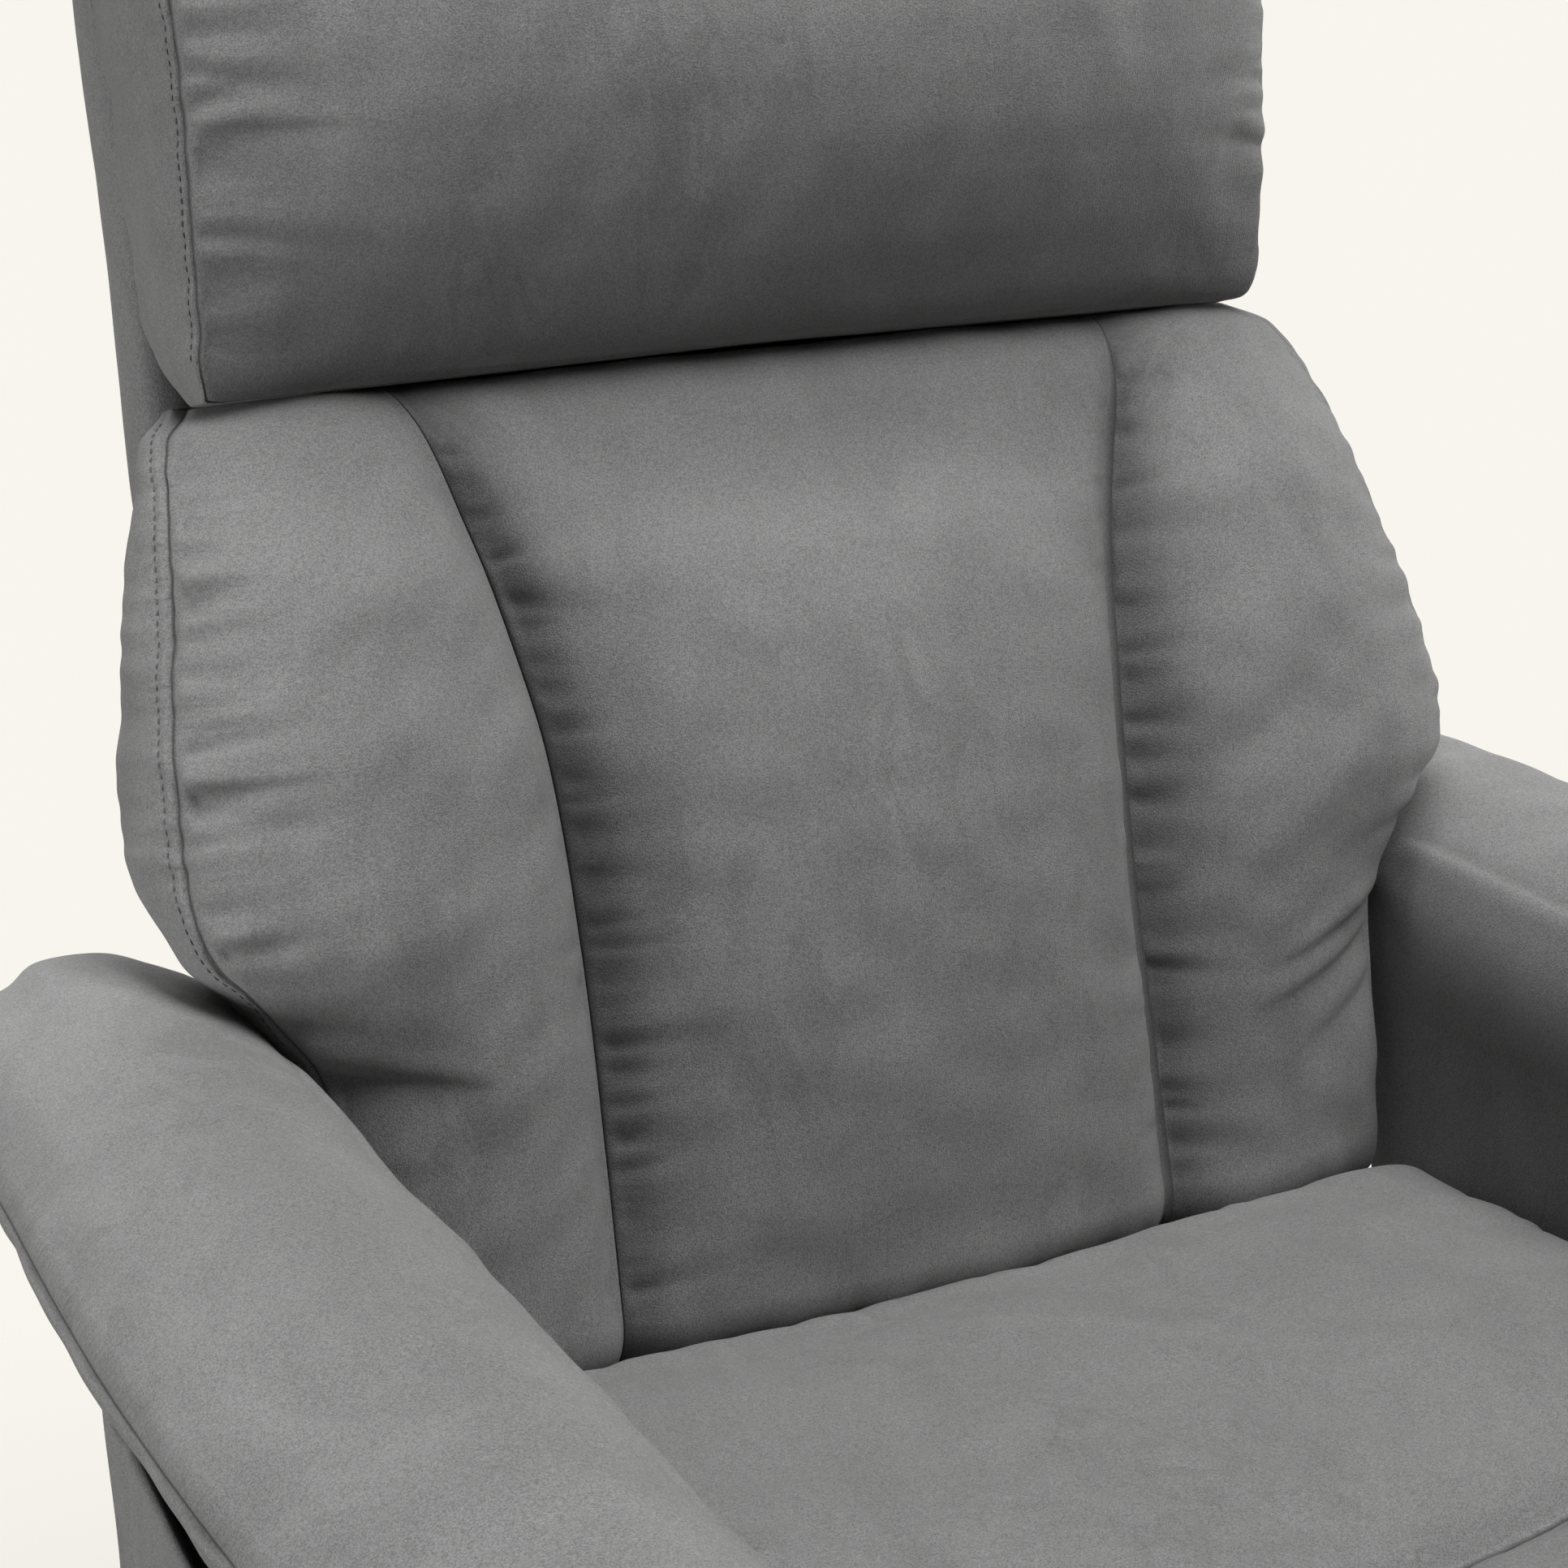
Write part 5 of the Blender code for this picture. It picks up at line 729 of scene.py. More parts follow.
def outer_back():
    """The outer back: a padded wall in a U round the posts, its corners rounded, closed over at its top."""
    z = np.concatenate([SHELL_TOP * 0.93 * open_run(0.0, 1.0, 120),
                        SHELL_TOP * (0.93 + 0.07 * np.sin(0.5 * np.pi * np.linspace(0.0, 1.0, 40)))])[:, None]
    z = np.minimum(z, SHELL_TOP - 0.0006)
    wide = shell_half_width(z) - SHELL_TAPER * np.clip(z - SHELL_TAPER_FROM, 0.0, None)
    soft = end_round(z, 0.0, SHELL_TOP, 0.008, 0.014, 0.0)
    pull = 0.006 * (1 - soft)
    u = np.linspace(-1.0, 1.0, 241)[None, :]
    straight = SHELL_REAR - SHELL_CORNER
    arc = 0.5 * np.pi * SHELL_CORNER
    flat = wide - SHELL_CORNER
    half_run = straight + arc + flat
    run = np.abs(u) * half_run
    turn = np.clip((run - flat) / SHELL_CORNER, 0.0, 0.5 * np.pi)
    down = np.clip(run - flat - arc, 0.0, None)
    crown = 0.004 * np.cos(0.5 * np.pi * np.clip(run / flat, 0.0, 1.0)) * np.sin(np.pi * z / SHELL_TOP)
    x_out = np.sign(u) * (np.minimum(run, flat) + SHELL_CORNER * np.sin(turn)) * (1 - pull / wide)
    y_out = SHELL_REAR - SHELL_CORNER * (1 - np.cos(turn)) - down + crown - pull
    lip = np.clip(1 - (half_run - run) / 0.020, 0.0, 1.0)
    x_out = x_out - np.sign(u) * 0.0115 * (1 - np.sqrt(1 - lip ** 2))
    closed = ease((z - SHELL_CLOSED) / 0.0010)
    deep = SHELL_REAR - SHELL_WALL + (CUSHION_REAR + TOUCH - SHELL_REAR + SHELL_WALL) * closed
    back_u = -u
    inner_half = wide - SHELL_WALL
    lap = SHELL_LAP * ease((z - SHELL_LAP_HEIGHTS[0]) / 0.015) * ease((SHELL_LAP_HEIGHTS[1] - z) / 0.015)
    fall = np.clip((np.abs(back_u) * half_run - flat) / (half_run - flat), 0.0, 1.0)
    reach = inner_half - lap * ease((fall - 0.6) / 0.2) - flat
    x_in = np.sign(back_u) * np.minimum(np.abs(back_u) * half_run, flat) + np.sign(back_u) * reach * ease(fall * 1.6)
    y_in = deep * (1 - ease((fall - 0.25) / 0.75))
    x, y = ring_of([(x_out, y_out), (x_in, y_in)], z)
    pad = Pad("back_shell_cover", "back", "back_shell", leant(BACK_HINGE, LEAN, x, y, z), capped="strip", fill=0.6)
    count = u.shape[1]
    off = np.abs(run - flat - 0.5 * arc)
    relief = 0.0007 * lumps(np.sign(u) * run, z, 61, 0.11)
    relief = relief + groove(off, 0.0035, 0.0018) + groove(off - 0.006, 0.0016, 0.0006)
    relief += puckers(z + 0 * u, off, 62, (0.05, 0.70), 0.026, 0.022, 0.0009)
    top_line = np.abs(z - (SHELL_TOP - 0.030)) + 0 * u
    relief += groove(top_line, 0.0035, 0.0014)
    pad.relief[:, :count] = relief * ease((half_run - run) / 0.01) * soft
    pad.sewn_and_shade[:, :count] = np.maximum(sewn_line(off), sewn_line(top_line))
    return pad


def seat():
    """The seat: a rising plane with a crown across, full rear corners, a rounded nose, and a cross seam bowed like a
    parabola."""
    t = spaced(230, 0.35, True)
    rows = np.sort(np.concatenate([SEAT_REAR_Y + (SEAT_FRONT_Y - SEAT_REAR_Y) * t,
                                   SEAT_SEAM_Y + np.linspace(-0.012, 0.012, 15)]))[::-1]
    y0 = rows[:, None]
    nose = np.clip((SEAT_FRONT_Y + SEAT_NOSE - y0) / SEAT_NOSE, 0.0, 0.9995)
    fall = 1 - np.sqrt(1 - nose ** 2)
    rear = np.clip(1 - (SEAT_REAR_Y - y0) / SEAT_REAR_ROUND, 0.0, 1.0)
    rear_fall = 1 - np.sqrt(1 - rear ** 2)
    drop = 0.62 * SEAT_NOSE * fall + 0.9 * SEAT_REAR_ROUND * rear_fall
    low = SEAT_BOTTOM + 0.40 * SEAT_NOSE * fall
    length = SEAT_REAR_Y - SEAT_FRONT_Y
    wide = SEAT_HALF_WIDTH - 0.003 * np.sin(np.pi * (SEAT_REAR_Y - y0) / length) - 0.011 * fall - 0.005 * rear_fall
    follow = ease((SEAT_REAR_Y - y0) / 0.26) * ease((y0 - SEAT_FRONT_Y) / (SEAT_SEAM_Y - SEAT_FRONT_Y))
    bow = SEAT_SEAM_BOW * wide * wide * follow
    off = y0 - SEAT_SEAM_Y
    c = (2 * spaced(210, 0.55) - 1)[None, :]
    plane = SEAT_REAR_TOP + (SEAT_REAR_Y - y0) * SEAT_RISE - drop
    puff = 0.006 * (1 - bell(off, 0.035)) - 0.004
    edge = SEAT_EDGE_DROP * (1 - (1 - np.abs(c) ** 9) ** 0.5)
    side_rise = SEAT_SIDE_RISE * ease((y0 + 0.26) / 0.20)
    top_z = plane + SEAT_CROWN * (1 - c * c) + side_rise * c * c + puff - edge
    top = (c * wide, top_z, y0 + bow * c * c)
    w = spaced(20, 0.3)[None, :]
    shoulder = plane + side_rise + puff - SEAT_EDGE_DROP

    def flank(w):
        """One side's wall, from the top's edge at 0 down to the underside at 1."""
        return (wide - 0.004 * np.sin(np.pi * w) - SEAT_TUCK * ease((w - 0.7) / 0.3), shoulder + (low - shoulder) * w,
                y0 + bow * (1 - ease(w)))

    right, left = flank(w), flank(1 - w)
    b = even(12)
    below = ((wide - SEAT_TUCK) * (1 - 2 * b), low + 0 * b, y0 + 0 * b)
    x, z, y = ring_of([top, right, below, (-left[0], *left[1:])], y0)
    count = c.shape[1]
    free = ease((1 - np.abs(c)) / 0.10) * ease(np.abs(off) / 0.05) * ease((SEAT_REAR_Y - y0) / 0.05) * (1 - nose)
    pad = Pad("seat_cover", "chassis", "seat_cushion", np.stack([x, y, z], axis=-1), free, fill=0.8, pressure=3.0)
    xf, yf = x[:, :count], y[:, :count]
    from_seam = np.abs(off) + 0 * c
    from_rear = SEAT_REAR_Y - y0 + 0 * c
    relief = 0.0011 * lumps(xf, yf, 71, 0.11) + 0.0005 * lumps(xf, yf, 72, 0.04)
    relief += puckers(xf, from_seam, 73, (-0.24, 0.24), 0.021, 0.026, 0.0013)
    relief += puckers(xf, from_rear, 74, (-0.24, 0.24), 0.026, 0.040, 0.0007)
    relief += puckers(yf, (1 - np.abs(c)) * wide, 75, (-0.33, 0.17), 0.030, 0.024, 0.0010)
    relief = relief * ease(from_seam / SEAM_FADE)
    pad.relief[:, :count] = relief + groove(from_seam, 0.0085, 0.0085) + groove(from_seam, 0.0022, 0.0022)
    pad.sewn_and_shade[:, :count] = sewn_line(from_seam)
    return pad


def arm_section(y):
    """Section of the right arm at each station: control points round it, from the skirt over the roll to the underside.
    Its rear end falls and draws in."""
    back = ease((y - ARM_FRAME_REAR_Y) / ARM_OUTER_RADIUS)
    over = np.clip((y - (ARM_REAR_Y - 2 * ARM_OUTER_RADIUS)) / (2 * ARM_OUTER_RADIUS), 0.0, 1.0)
    top = ARM_TOP - 0.5 * ARM_OUTER_RADIUS * over ** 2
    inner = ARM_INNER_X + 0.004 * over
    outer = ARM_OUTER_X - ARM_BULGE * (1 - bell(y - ARM_BULGE_Y, ARM_BULGE_LENGTH)) - 0.012 * over
    shoulder = top - 0.008
    under = ARM_TOP - ARM_OUTER_RADIUS - ARM_ROLL_DROP + 0.006 + 0 * y
    seat_z = ARM_FRAME_TOP + TOUCH + 0.030 * back
    skirt = ARM_SKIRT + (seat_z - 0.012 - ARM_SKIRT) * back
    wall = ARM_FRAME_IN - TOUCH
    arc_in = [(inner + ARM_INNER_RADIUS * (1 + math.cos(a)), shoulder - ARM_INNER_RADIUS * (1 - math.sin(a)))
              for a in np.radians((162, 135, 108))]
    arc_out = [(outer - ARM_OUTER_RADIUS * (1 - math.cos(a)), shoulder - ARM_OUTER_RADIUS * (1 - math.sin(a)))
               for a in np.radians((80, 55, 30, 8))]
    points = [(inner, skirt), (inner - 0.001, skirt + 0.3 * (shoulder - skirt))]
    points += [(inner, skirt + 0.6 * (shoulder - skirt))]
    points += arc_in + [(0.62 * inner + 0.38 * outer, top - 0.0012), (0.40 * inner + 0.60 * outer, top)] + arc_out
    points += [(outer, under + 0.008), (outer - 0.0025, under + 0.002), (outer - 0.010, under - 0.001)]
    points += [(ARM_FRAME_OUT + PANEL_THICKNESS + 0 * y, under - 0.002), (ARM_FRAME_OUT + 0.002 + 0 * y, under - 0.002)]
    points += [(ARM_FRAME_OUT + 0 * y, under - 0.004), (ARM_FRAME_OUT + 0 * y, seat_z + 0 * y)]
    points += [(wall + 0 * y, seat_z + 0 * y), (wall + 0 * y, skirt + 0.001), (0.5 * (inner + wall), skirt)]
    return np.array([[np.broadcast_to(q, y.shape) for q in p] for p in points])


def arm(side, sign):
    """An arm's pad: the section's points joined by a cubic round it, carried along the arm and rounded at both ends."""
    t = spaced(250, 0.6, True)
    y = ARM_FRONT_Y + (ARM_REAR_Y - ARM_FRONT_Y) * t
    near = np.minimum(y - ARM_FRONT_Y, ARM_REAR_Y - y)
    close = np.clip(1 - near / ARM_END_RADIUS, 0.0, 1.0)
    inset = ARM_END_RADIUS * (1 - np.sqrt(np.clip(1 - close ** 2, 0.0, 1.0)))
    net = arm_section(y)
    centre = np.array([0.5 * (ARM_INNER_X + ARM_OUTER_X), ARM_TOP - 1.6 * ARM_OUTER_RADIUS])
    gap = centre[None, :, None] - net
    far = np.hypot(gap[:, 0], gap[:, 1])
    net = net + gap * (np.minimum(0.62 * inset[None, :], 0.45 * far) / far)[:, None, :]
    count = len(net)
    looped = np.concatenate([net[-2:], net, net[:3]])
    knots = np.arange(-2, count + 3)
    shown = np.concatenate([open_run(0, 2, 40), open_run(2, 12, 130),
                            open_run(12, 15, 60), open_run(15, count, 50)])
    section = curve(knots, looped, shown)
    x, z = section[:, 0].T, section[:, 1].T
    grid = np.stack([sign * x, y[:, None] + 0 * x, z], axis=-1)
    round_in = np.interp(shown, (0.5, 3.0, 9.6, ARM_SEAM_KNOT), (0.0, 1.0, 1.0, 0.0))[None, :]
    free = ((shown > 0.5) & (shown < 12.5)) * ease(round_in) * ease(near / 0.08)[:, None]
    pad = Pad(f"arm_cover_{side}", "chassis", f"arm_pad_{side}", grid, free, fill=0.7, pressure=2.4)
    step = np.linalg.norm(np.diff(section, axis=0, append=section[:1]), axis=1).mean(axis=1)
    girth = np.concatenate([[0.0], np.cumsum(step)[:-1]])
    seam_at = np.interp(ARM_SEAM_KNOT, shown, girth)
    above = np.where(girth <= seam_at, seam_at - girth, 1.0)[None, :]
    off = np.abs(girth - seam_at)[None, :] + 0 * x
    along = y[:, None] + 0 * x
    visible = ease((seam_at + 0.03 - girth) / 0.01)[None, :]
    front_line = np.abs(along - (ARM_FRONT_Y + ARM_FRONT_SEAM))
    relief = 0.0007 * lumps(girth[None, :], along, 81 + sign, 0.12)
    relief += 0.0003 * lumps(girth[None, :], along, 84 + sign, 0.04)
    relief += puckers(along, above, 87 + sign, (-0.33, 0.33), 0.0120, 0.020, 0.0006, 0.0032, 0.45)
    relief += puckers(girth[None, :] + 0 * x, front_line, 91 + sign, (0.02, 0.45), 0.02, 0.022, 0.0012)
    relief = relief * ease(off / SEAM_FADE) + groove(off, 0.0018, 0.0010) + groove(front_line, 0.0020, 0.0012)
    pad.relief = relief * visible * ease(near / 0.006)[:, None]
    pad.gather = gathers(along, np.minimum(above, 0.2) + 0 * x, 0.013, 2.2 * visible, 0.0034, 0.5)
    # Painted shade: the arm's inner face, from the skirt up towards the roll, is darker.
    painted_shade = np.interp(shown, (0.0, 2.0, 4.0), (0.34, 0.34, 0.0))[None, :]
    lines = np.maximum(sewn_line(off), sewn_line(front_line) * visible)
    pad.sewn_and_shade = np.maximum(lines, painted_shade)
    return pad


def side_panel(side, sign):
    """The panel below an arm: a rounded outline round the arm's frame, seen from above, carried up with a crown to an
    edge below the frame's top. A lining goes on from there, in and up to the frame, painted near-black as the shade of
    the recess under the arm."""
    t = np.concatenate([spaced(110, 0.6, True), np.ones(14)])[:, None]
    lining = np.concatenate([np.zeros(110), np.linspace(0.02, 0.97, 14)])[:, None]
    outer = ARM_FRAME_OUT + PANEL_THICKNESS
    inner = ARM_FRAME_OUT + TOUCH
    front, rear = ARM_FRAME_FRONT_Y - TOUCH, ARM_FRAME_REAR_Y + TOUCH
    high = ARM_FRAME_TOP - TOUCH
    a = np.radians(open_run(0.0, 90.0, 12))
    sine, cosine = PANEL_CORNER * np.sin(a), PANEL_CORNER * np.cos(a)
    path = [open_run(ARM_FRAME_IN, outer - PANEL_CORNER, 24), outer - PANEL_CORNER + sine, np.full(160, outer),
            outer - PANEL_CORNER + cosine, open_run(outer - PANEL_CORNER, ARM_FRAME_IN, 24), np.full(6, ARM_FRAME_IN),
            open_run(ARM_FRAME_IN, inner, 20), np.full(40, inner), open_run(inner, ARM_FRAME_IN, 20),
            np.full(6, ARM_FRAME_IN)]
    y_front, y_rear = front - PANEL_WRAP, rear + PANEL_WRAP + 0.007
    run = [np.full(24, y_front), y_front + PANEL_CORNER - cosine,
           open_run(y_front + PANEL_CORNER, y_rear - PANEL_CORNER, 160), y_rear - PANEL_CORNER + sine,
           np.full(24, y_rear), open_run(y_rear, rear, 6), np.full(20, rear), open_run(rear, front, 40),
           np.full(20, front), open_run(front, y_front, 6)]
    px, py = np.concatenate(path)[None, :], np.concatenate(run)[None, :]
    outside = (np.arange(px.shape[1]) < 232)[None, :]
    drop = outside * (PANEL_DROP[0] * ease((0.202 - py) / 0.018) + PANEL_DROP[1] * ease((0.190 - py) / 0.10))
    climb = lining ** 1.6 - 0.4 * np.sin(np.pi * np.clip(2 * lining, 0.0, 1.0))
    z = ARM_FRAME_BOTTOM + (high - drop - ARM_FRAME_BOTTOM) * t + drop * climb
    along = np.clip((py - front) / (rear - front), 0.0, 1.0)
    skin = ease((px - inner) / (outer - inner))
    tall = high - ARM_FRAME_BOTTOM
    edge = 1 - end_round(t * tall, 0.0, tall, 0.010, 0.003, 0.0)
    x = px + skin * (PANEL_CROWN * np.sin(np.pi * t) ** 0.6 * np.sin(np.pi * along) ** 0.5 - 0.002 * edge)
    x = x + (np.clip(x, ARM_FRAME_IN, inner + 0.0006) - x) * lining ** 0.5
    y = py + (np.clip(py, front - 0.0006, rear + 0.0006) - py) * lining ** 0.5
    pad = Pad(f"side_panel_cover_{side}", "chassis", f"side_panel_{side}",
              np.stack([sign * x, y, z], axis=-1), fill=0.5)
    relief = 0.0009 * lumps(py + 0 * x, z, 101 + sign, 0.13)
    relief += puckers(py + 0 * x, high - drop - z, 104 + sign, (-0.3, 0.17), 0.03, 0.03, 0.0008)
    end_line = np.minimum(np.abs(py - front - PANEL_SEAM), np.abs(py - rear + PANEL_SEAM)) + 0 * x
    pad.relief = (relief + groove(end_line, 0.0032, 0.0018)) * skin * (1 - edge)
    # Painted shade: the lining is painted near-black as the shade of the recess under the arm's roll.
    pad.sewn_and_shade = np.maximum(sewn_line(end_line) * skin, 1.2 * ease(lining / 0.02) * outside)
    return pad


def leg_rest():
    """The leg rest's pad: across, full with rounded ends; up, a superellipse bow in front of its board."""
    t = spaced(150, 0.8, True)[:, None]
    x = LEG_HALF_WIDTH * (2 * t - 1)
    ends = end_round(x + LEG_HALF_WIDTH, 0.0, 2 * LEG_HALF_WIDTH, 0.030, 0.030, 0.42)
    crown = LEG_DEPTH * ends * (0.82 + 0.18 * np.sin(np.pi * t))
    high = LEG_HALF_HEIGHT * (0.94 + 0.06 * ends) - 0.004 * np.sin(np.pi * t)
    k = spaced(120, 0.4)[None, :]
    turn = np.pi * k
    front = (LEG_BACK - 0.3 * crown - 0.7 * crown * np.sin(turn) ** 0.6, high * np.cos(turn))
    w = even(8)
    bottom = (LEG_BACK - 0.3 * crown * (1 - w), -high + 0 * w)
    rear = (LEG_BACK + 0 * w * t, -high + 2 * high * w)
    upper = (LEG_BACK - 0.3 * crown * w, high + 0 * w)
    y, z = ring_of([front, bottom, rear, upper], t)
    count = k.shape[1]
    free = ease(np.minimum(k, 1 - k) / 0.2) * ease((LEG_HALF_WIDTH - np.abs(x)) / 0.06)
    pad = Pad("leg_rest_cover", "leg_pad", "leg_rest_cushion", leant(LEG_HINGE, -LEG_TILT, x + 0 * y, y, z), free,
              fill=0.75, pressure=2.5)
    edge = np.minimum(k, 1 - k) * 2.6 * LEG_HALF_HEIGHT
    end = LEG_HALF_WIDTH - np.abs(x)
    relief = 0.0009 * lumps(x + 0 * k, k * 0.25 + 0 * x, 111, 0.09)
    relief += puckers(x + 0 * k, edge, 112, (-0.22, 0.22), 0.021, 0.026, 0.0014)
    relief += puckers(k * 0.26 + 0 * x, end + 0 * k, 113, (0.02, 0.24), 0.019, 0.030, 0.0014)
    pad.relief[:, :count] = relief + groove(edge - LEG_SEAM, 0.0032, 0.0020)
    pad.sewn_and_shade[:, :count] = sewn_line(edge - LEG_SEAM)
    return pad


def stitch_row(name, path, out, body, material):
    """A row of sewn stitches: one small closed capsule, set down at even steps along a path on the cloth."""
    run = np.concatenate([[0.0], np.cumsum(np.linalg.norm(np.diff(path, axis=0), axis=1))])
    at = np.arange(0.5 * STITCH_PITCH, run[-1], STITCH_PITCH)

    def along(values, places):
        """Values of the path's points, carried to places along it."""
        return np.stack([np.interp(places, run, values[:, k]) for k in range(3)], axis=-1)

    place, up = along(path, at), along(out, at)
    ahead = along(path, at + 0.001) - along(path, at - 0.001)
    ahead /= np.linalg.norm(ahead, axis=1, keepdims=True)
    up -= ahead * np.sum(up * ahead, axis=1, keepdims=True)
    up /= np.linalg.norm(up, axis=1, keepdims=True)
    across = np.cross(ahead, up)
    rings, corners = 5, 6
    s = np.linspace(-1.0, 1.0, rings)[:, None]
    a = open_run(0.0, 2 * np.pi, corners)[None, :]
    round_end = STITCH_THICK * np.sqrt(1.02 - s ** 2)
    local = np.stack([0.5 * STITCH_LENGTH * s + 0 * a, round_end * np.cos(a),
                      round_end * np.sin(a) + 0.4 * STITCH_THICK * (1 - 1.8 * s * s)], axis=-1)
    basis = np.stack([ahead, across, up], axis=1)
    points = place[:, None, None, :] + np.einsum("rak,nkj->nraj", local, basis)
    quads, fans = faces_of(rings, corners, "fan")
    poles = [points[:, end].mean(axis=1)[:, None] for end in (0, -1)]
    each = np.concatenate([points.reshape(len(at), -1, 3), *poles], axis=1)
    shift = np.arange(len(at))[:, None, None] * each.shape[1]
    mesh = mesh_of(name, each.reshape(-1, 3), (quads[None] + shift).reshape(-1, 4), (fans[None] + shift).reshape(-1, 3))
    mesh.materials.append(material)
    obj = placed(name, mesh)
    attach(obj, body)


def feed(tree, socket, value):
    """Gives an input its value: a link from another socket, or a number or colour of its own."""
    if isinstance(value, bpy.types.NodeSocket):
        tree.links.new(value, socket)
    else:
        socket.default_value = value


def feed_all(tree, node, values):
    """Gives a node's inputs their values by name."""
    for key, value in values.items():
        feed(tree, node.inputs[key], value)


def node_of(tree, kind, **values):
    """A shader node. Each value goes to the input of that name, or else to the node's setting of that name."""
    made = tree.nodes.new(kind)
    for key, value in values.items():
        if key in made.inputs.keys():
            feed(tree, made.inputs[key], value)
        else:
            setattr(made, key, value)
    return made


def maths(tree, operation, first, second):
    """A math node's result. Its inputs are sockets or numbers."""
    made = node_of(tree, "ShaderNodeMath", operation=operation)
    feed(tree, made.inputs[0], first)
    feed(tree, made.inputs[1], second)
    return made.outputs[0]


def weighted(tree, first, first_part, second, second_part):
    """The sum of two values, each times its part."""
    return maths(tree, "ADD", maths(tree, "MULTIPLY", first, first_part), maths(tree, "MULTIPLY", second, second_part))


def ramp(tree, value, low, high, out_low=0.0, out_high=1.0):
    """A value stretched from one range to another, smooth at both ends."""
    limits = {"From Min": low, "From Max": high, "To Min": out_low, "To Max": out_high}
    made = node_of(tree, "ShaderNodeMapRange", interpolation_type="SMOOTHSTEP", Value=value, **limits)
    return made.outputs["Result"]


def blend_colours(tree, factor, first, second, mode="MIX"):
    """Two colours mixed by a factor. Each may be a socket or a colour."""
    made = node_of(tree, "ShaderNodeMix", data_type="RGBA", blend_type=mode)
    for index, value in ((0, factor), (6, first), (7, second)):
        feed(tree, made.inputs[index], (*value, 1.0) if isinstance(value, tuple) else value)
    return made.outputs[2]


def object_places(tree):
    """The object's own coordinates."""
    return tree.nodes.new("ShaderNodeTexCoord").outputs["Object"]


def stretched(tree, coords, scale, rotation=(0.0, 0.0, 0.0)):
    """Coordinates turned and scaled along each axis."""
    return node_of(tree, "ShaderNodeMapping", Vector=coords, Scale=scale, Rotation=rotation).outputs["Vector"]


def noise(tree, coords, scale, detail=2.0, rough=0.5, distortion=0.0):
    """Values of a noise texture over the given coordinates."""
    return node_of(tree, "ShaderNodeTexNoise", Vector=coords, Scale=scale, Detail=detail, Roughness=rough,
                   Distortion=distortion).outputs["Fac"]


def bumped(tree, height, strength, distance, **under):
    """The normal bent by a height, on top of another normal where one is given."""
    made = node_of(tree, "ShaderNodeBump", Height=height, Strength=strength, Distance=distance, **under)
    return made.outputs["Normal"]


def material_of(name):
    """A new material with its tree and its shader."""
    made = bpy.data.materials.new(name)
    made.use_nodes = True
    return made, made.node_tree, made.node_tree.nodes["Principled BSDF"]


def shared_group(name, inputs, outputs):
    """A new shader group with named number inputs and outputs, and its two end nodes."""
    tree = bpy.data.node_groups.new(name, "ShaderNodeTree")
    for key, number in inputs.items():
        tree.interface.new_socket(name=key, in_out="INPUT", socket_type="NodeSocketFloat").default_value = number
    for key in outputs:
        tree.interface.new_socket(name=key, in_out="OUTPUT", socket_type="NodeSocketFloat")
    return tree, tree.nodes.new("NodeGroupInput").outputs, tree.nodes.new("NodeGroupOutput")


def suede_nap():
    """Group: the brushed nap's patches and strokes, the fine grain, and sparse dark specks of lint."""
    tree, given, out = shared_group("suede_nap", {"Patch Size": 11.0, "Grain Size": 1500.0},
                                    ("Nap", "Grain", "Specks", "Height"))
    where = object_places(tree)
    brushed = stretched(tree, where, (1.0, 0.8, 0.42), (0.2, 0.0, 0.25))
    patches = ramp(tree, noise(tree, brushed, given["Patch Size"], 4.0, 0.62, 1.4), 0.30, 0.70)
    strokes = ramp(tree, noise(tree, brushed, 34.0, 4.0, 0.6, 1.2), 0.52, 0.58, 0.0, 0.8)
    where_strokes = ramp(tree, noise(tree, where, 7.5, 1.0), 0.52, 0.60)
    grain = noise(tree, where, given["Grain Size"], 2.0, 0.7)
    coarse = noise(tree, where, 520.0, 2.0, 0.6)
    cells = node_of(tree, "ShaderNodeTexVoronoi", Vector=stretched(tree, where, (1.0, 1.0, 0.55)), Scale=42.0).outputs
    dots = maths(tree, "MULTIPLY", ramp(tree, cells["Distance"], 0.055, 0.030), ramp(tree, cells["Color"], 0.90, 0.93))
    clusters = ramp(tree, noise(tree, where, 9.0, 1.0), 0.54, 0.62)
    feed_all(tree, out, {
        "Nap": maths(tree, "SUBTRACT", patches, maths(tree, "MULTIPLY", strokes, where_strokes)),
        "Grain": weighted(tree, grain, 0.78, coarse, 0.22),
        "Specks": maths(tree, "MULTIPLY", dots, clusters),
        "Height": weighted(tree, grain, 0.8, coarse, 0.25),
    })
    return tree


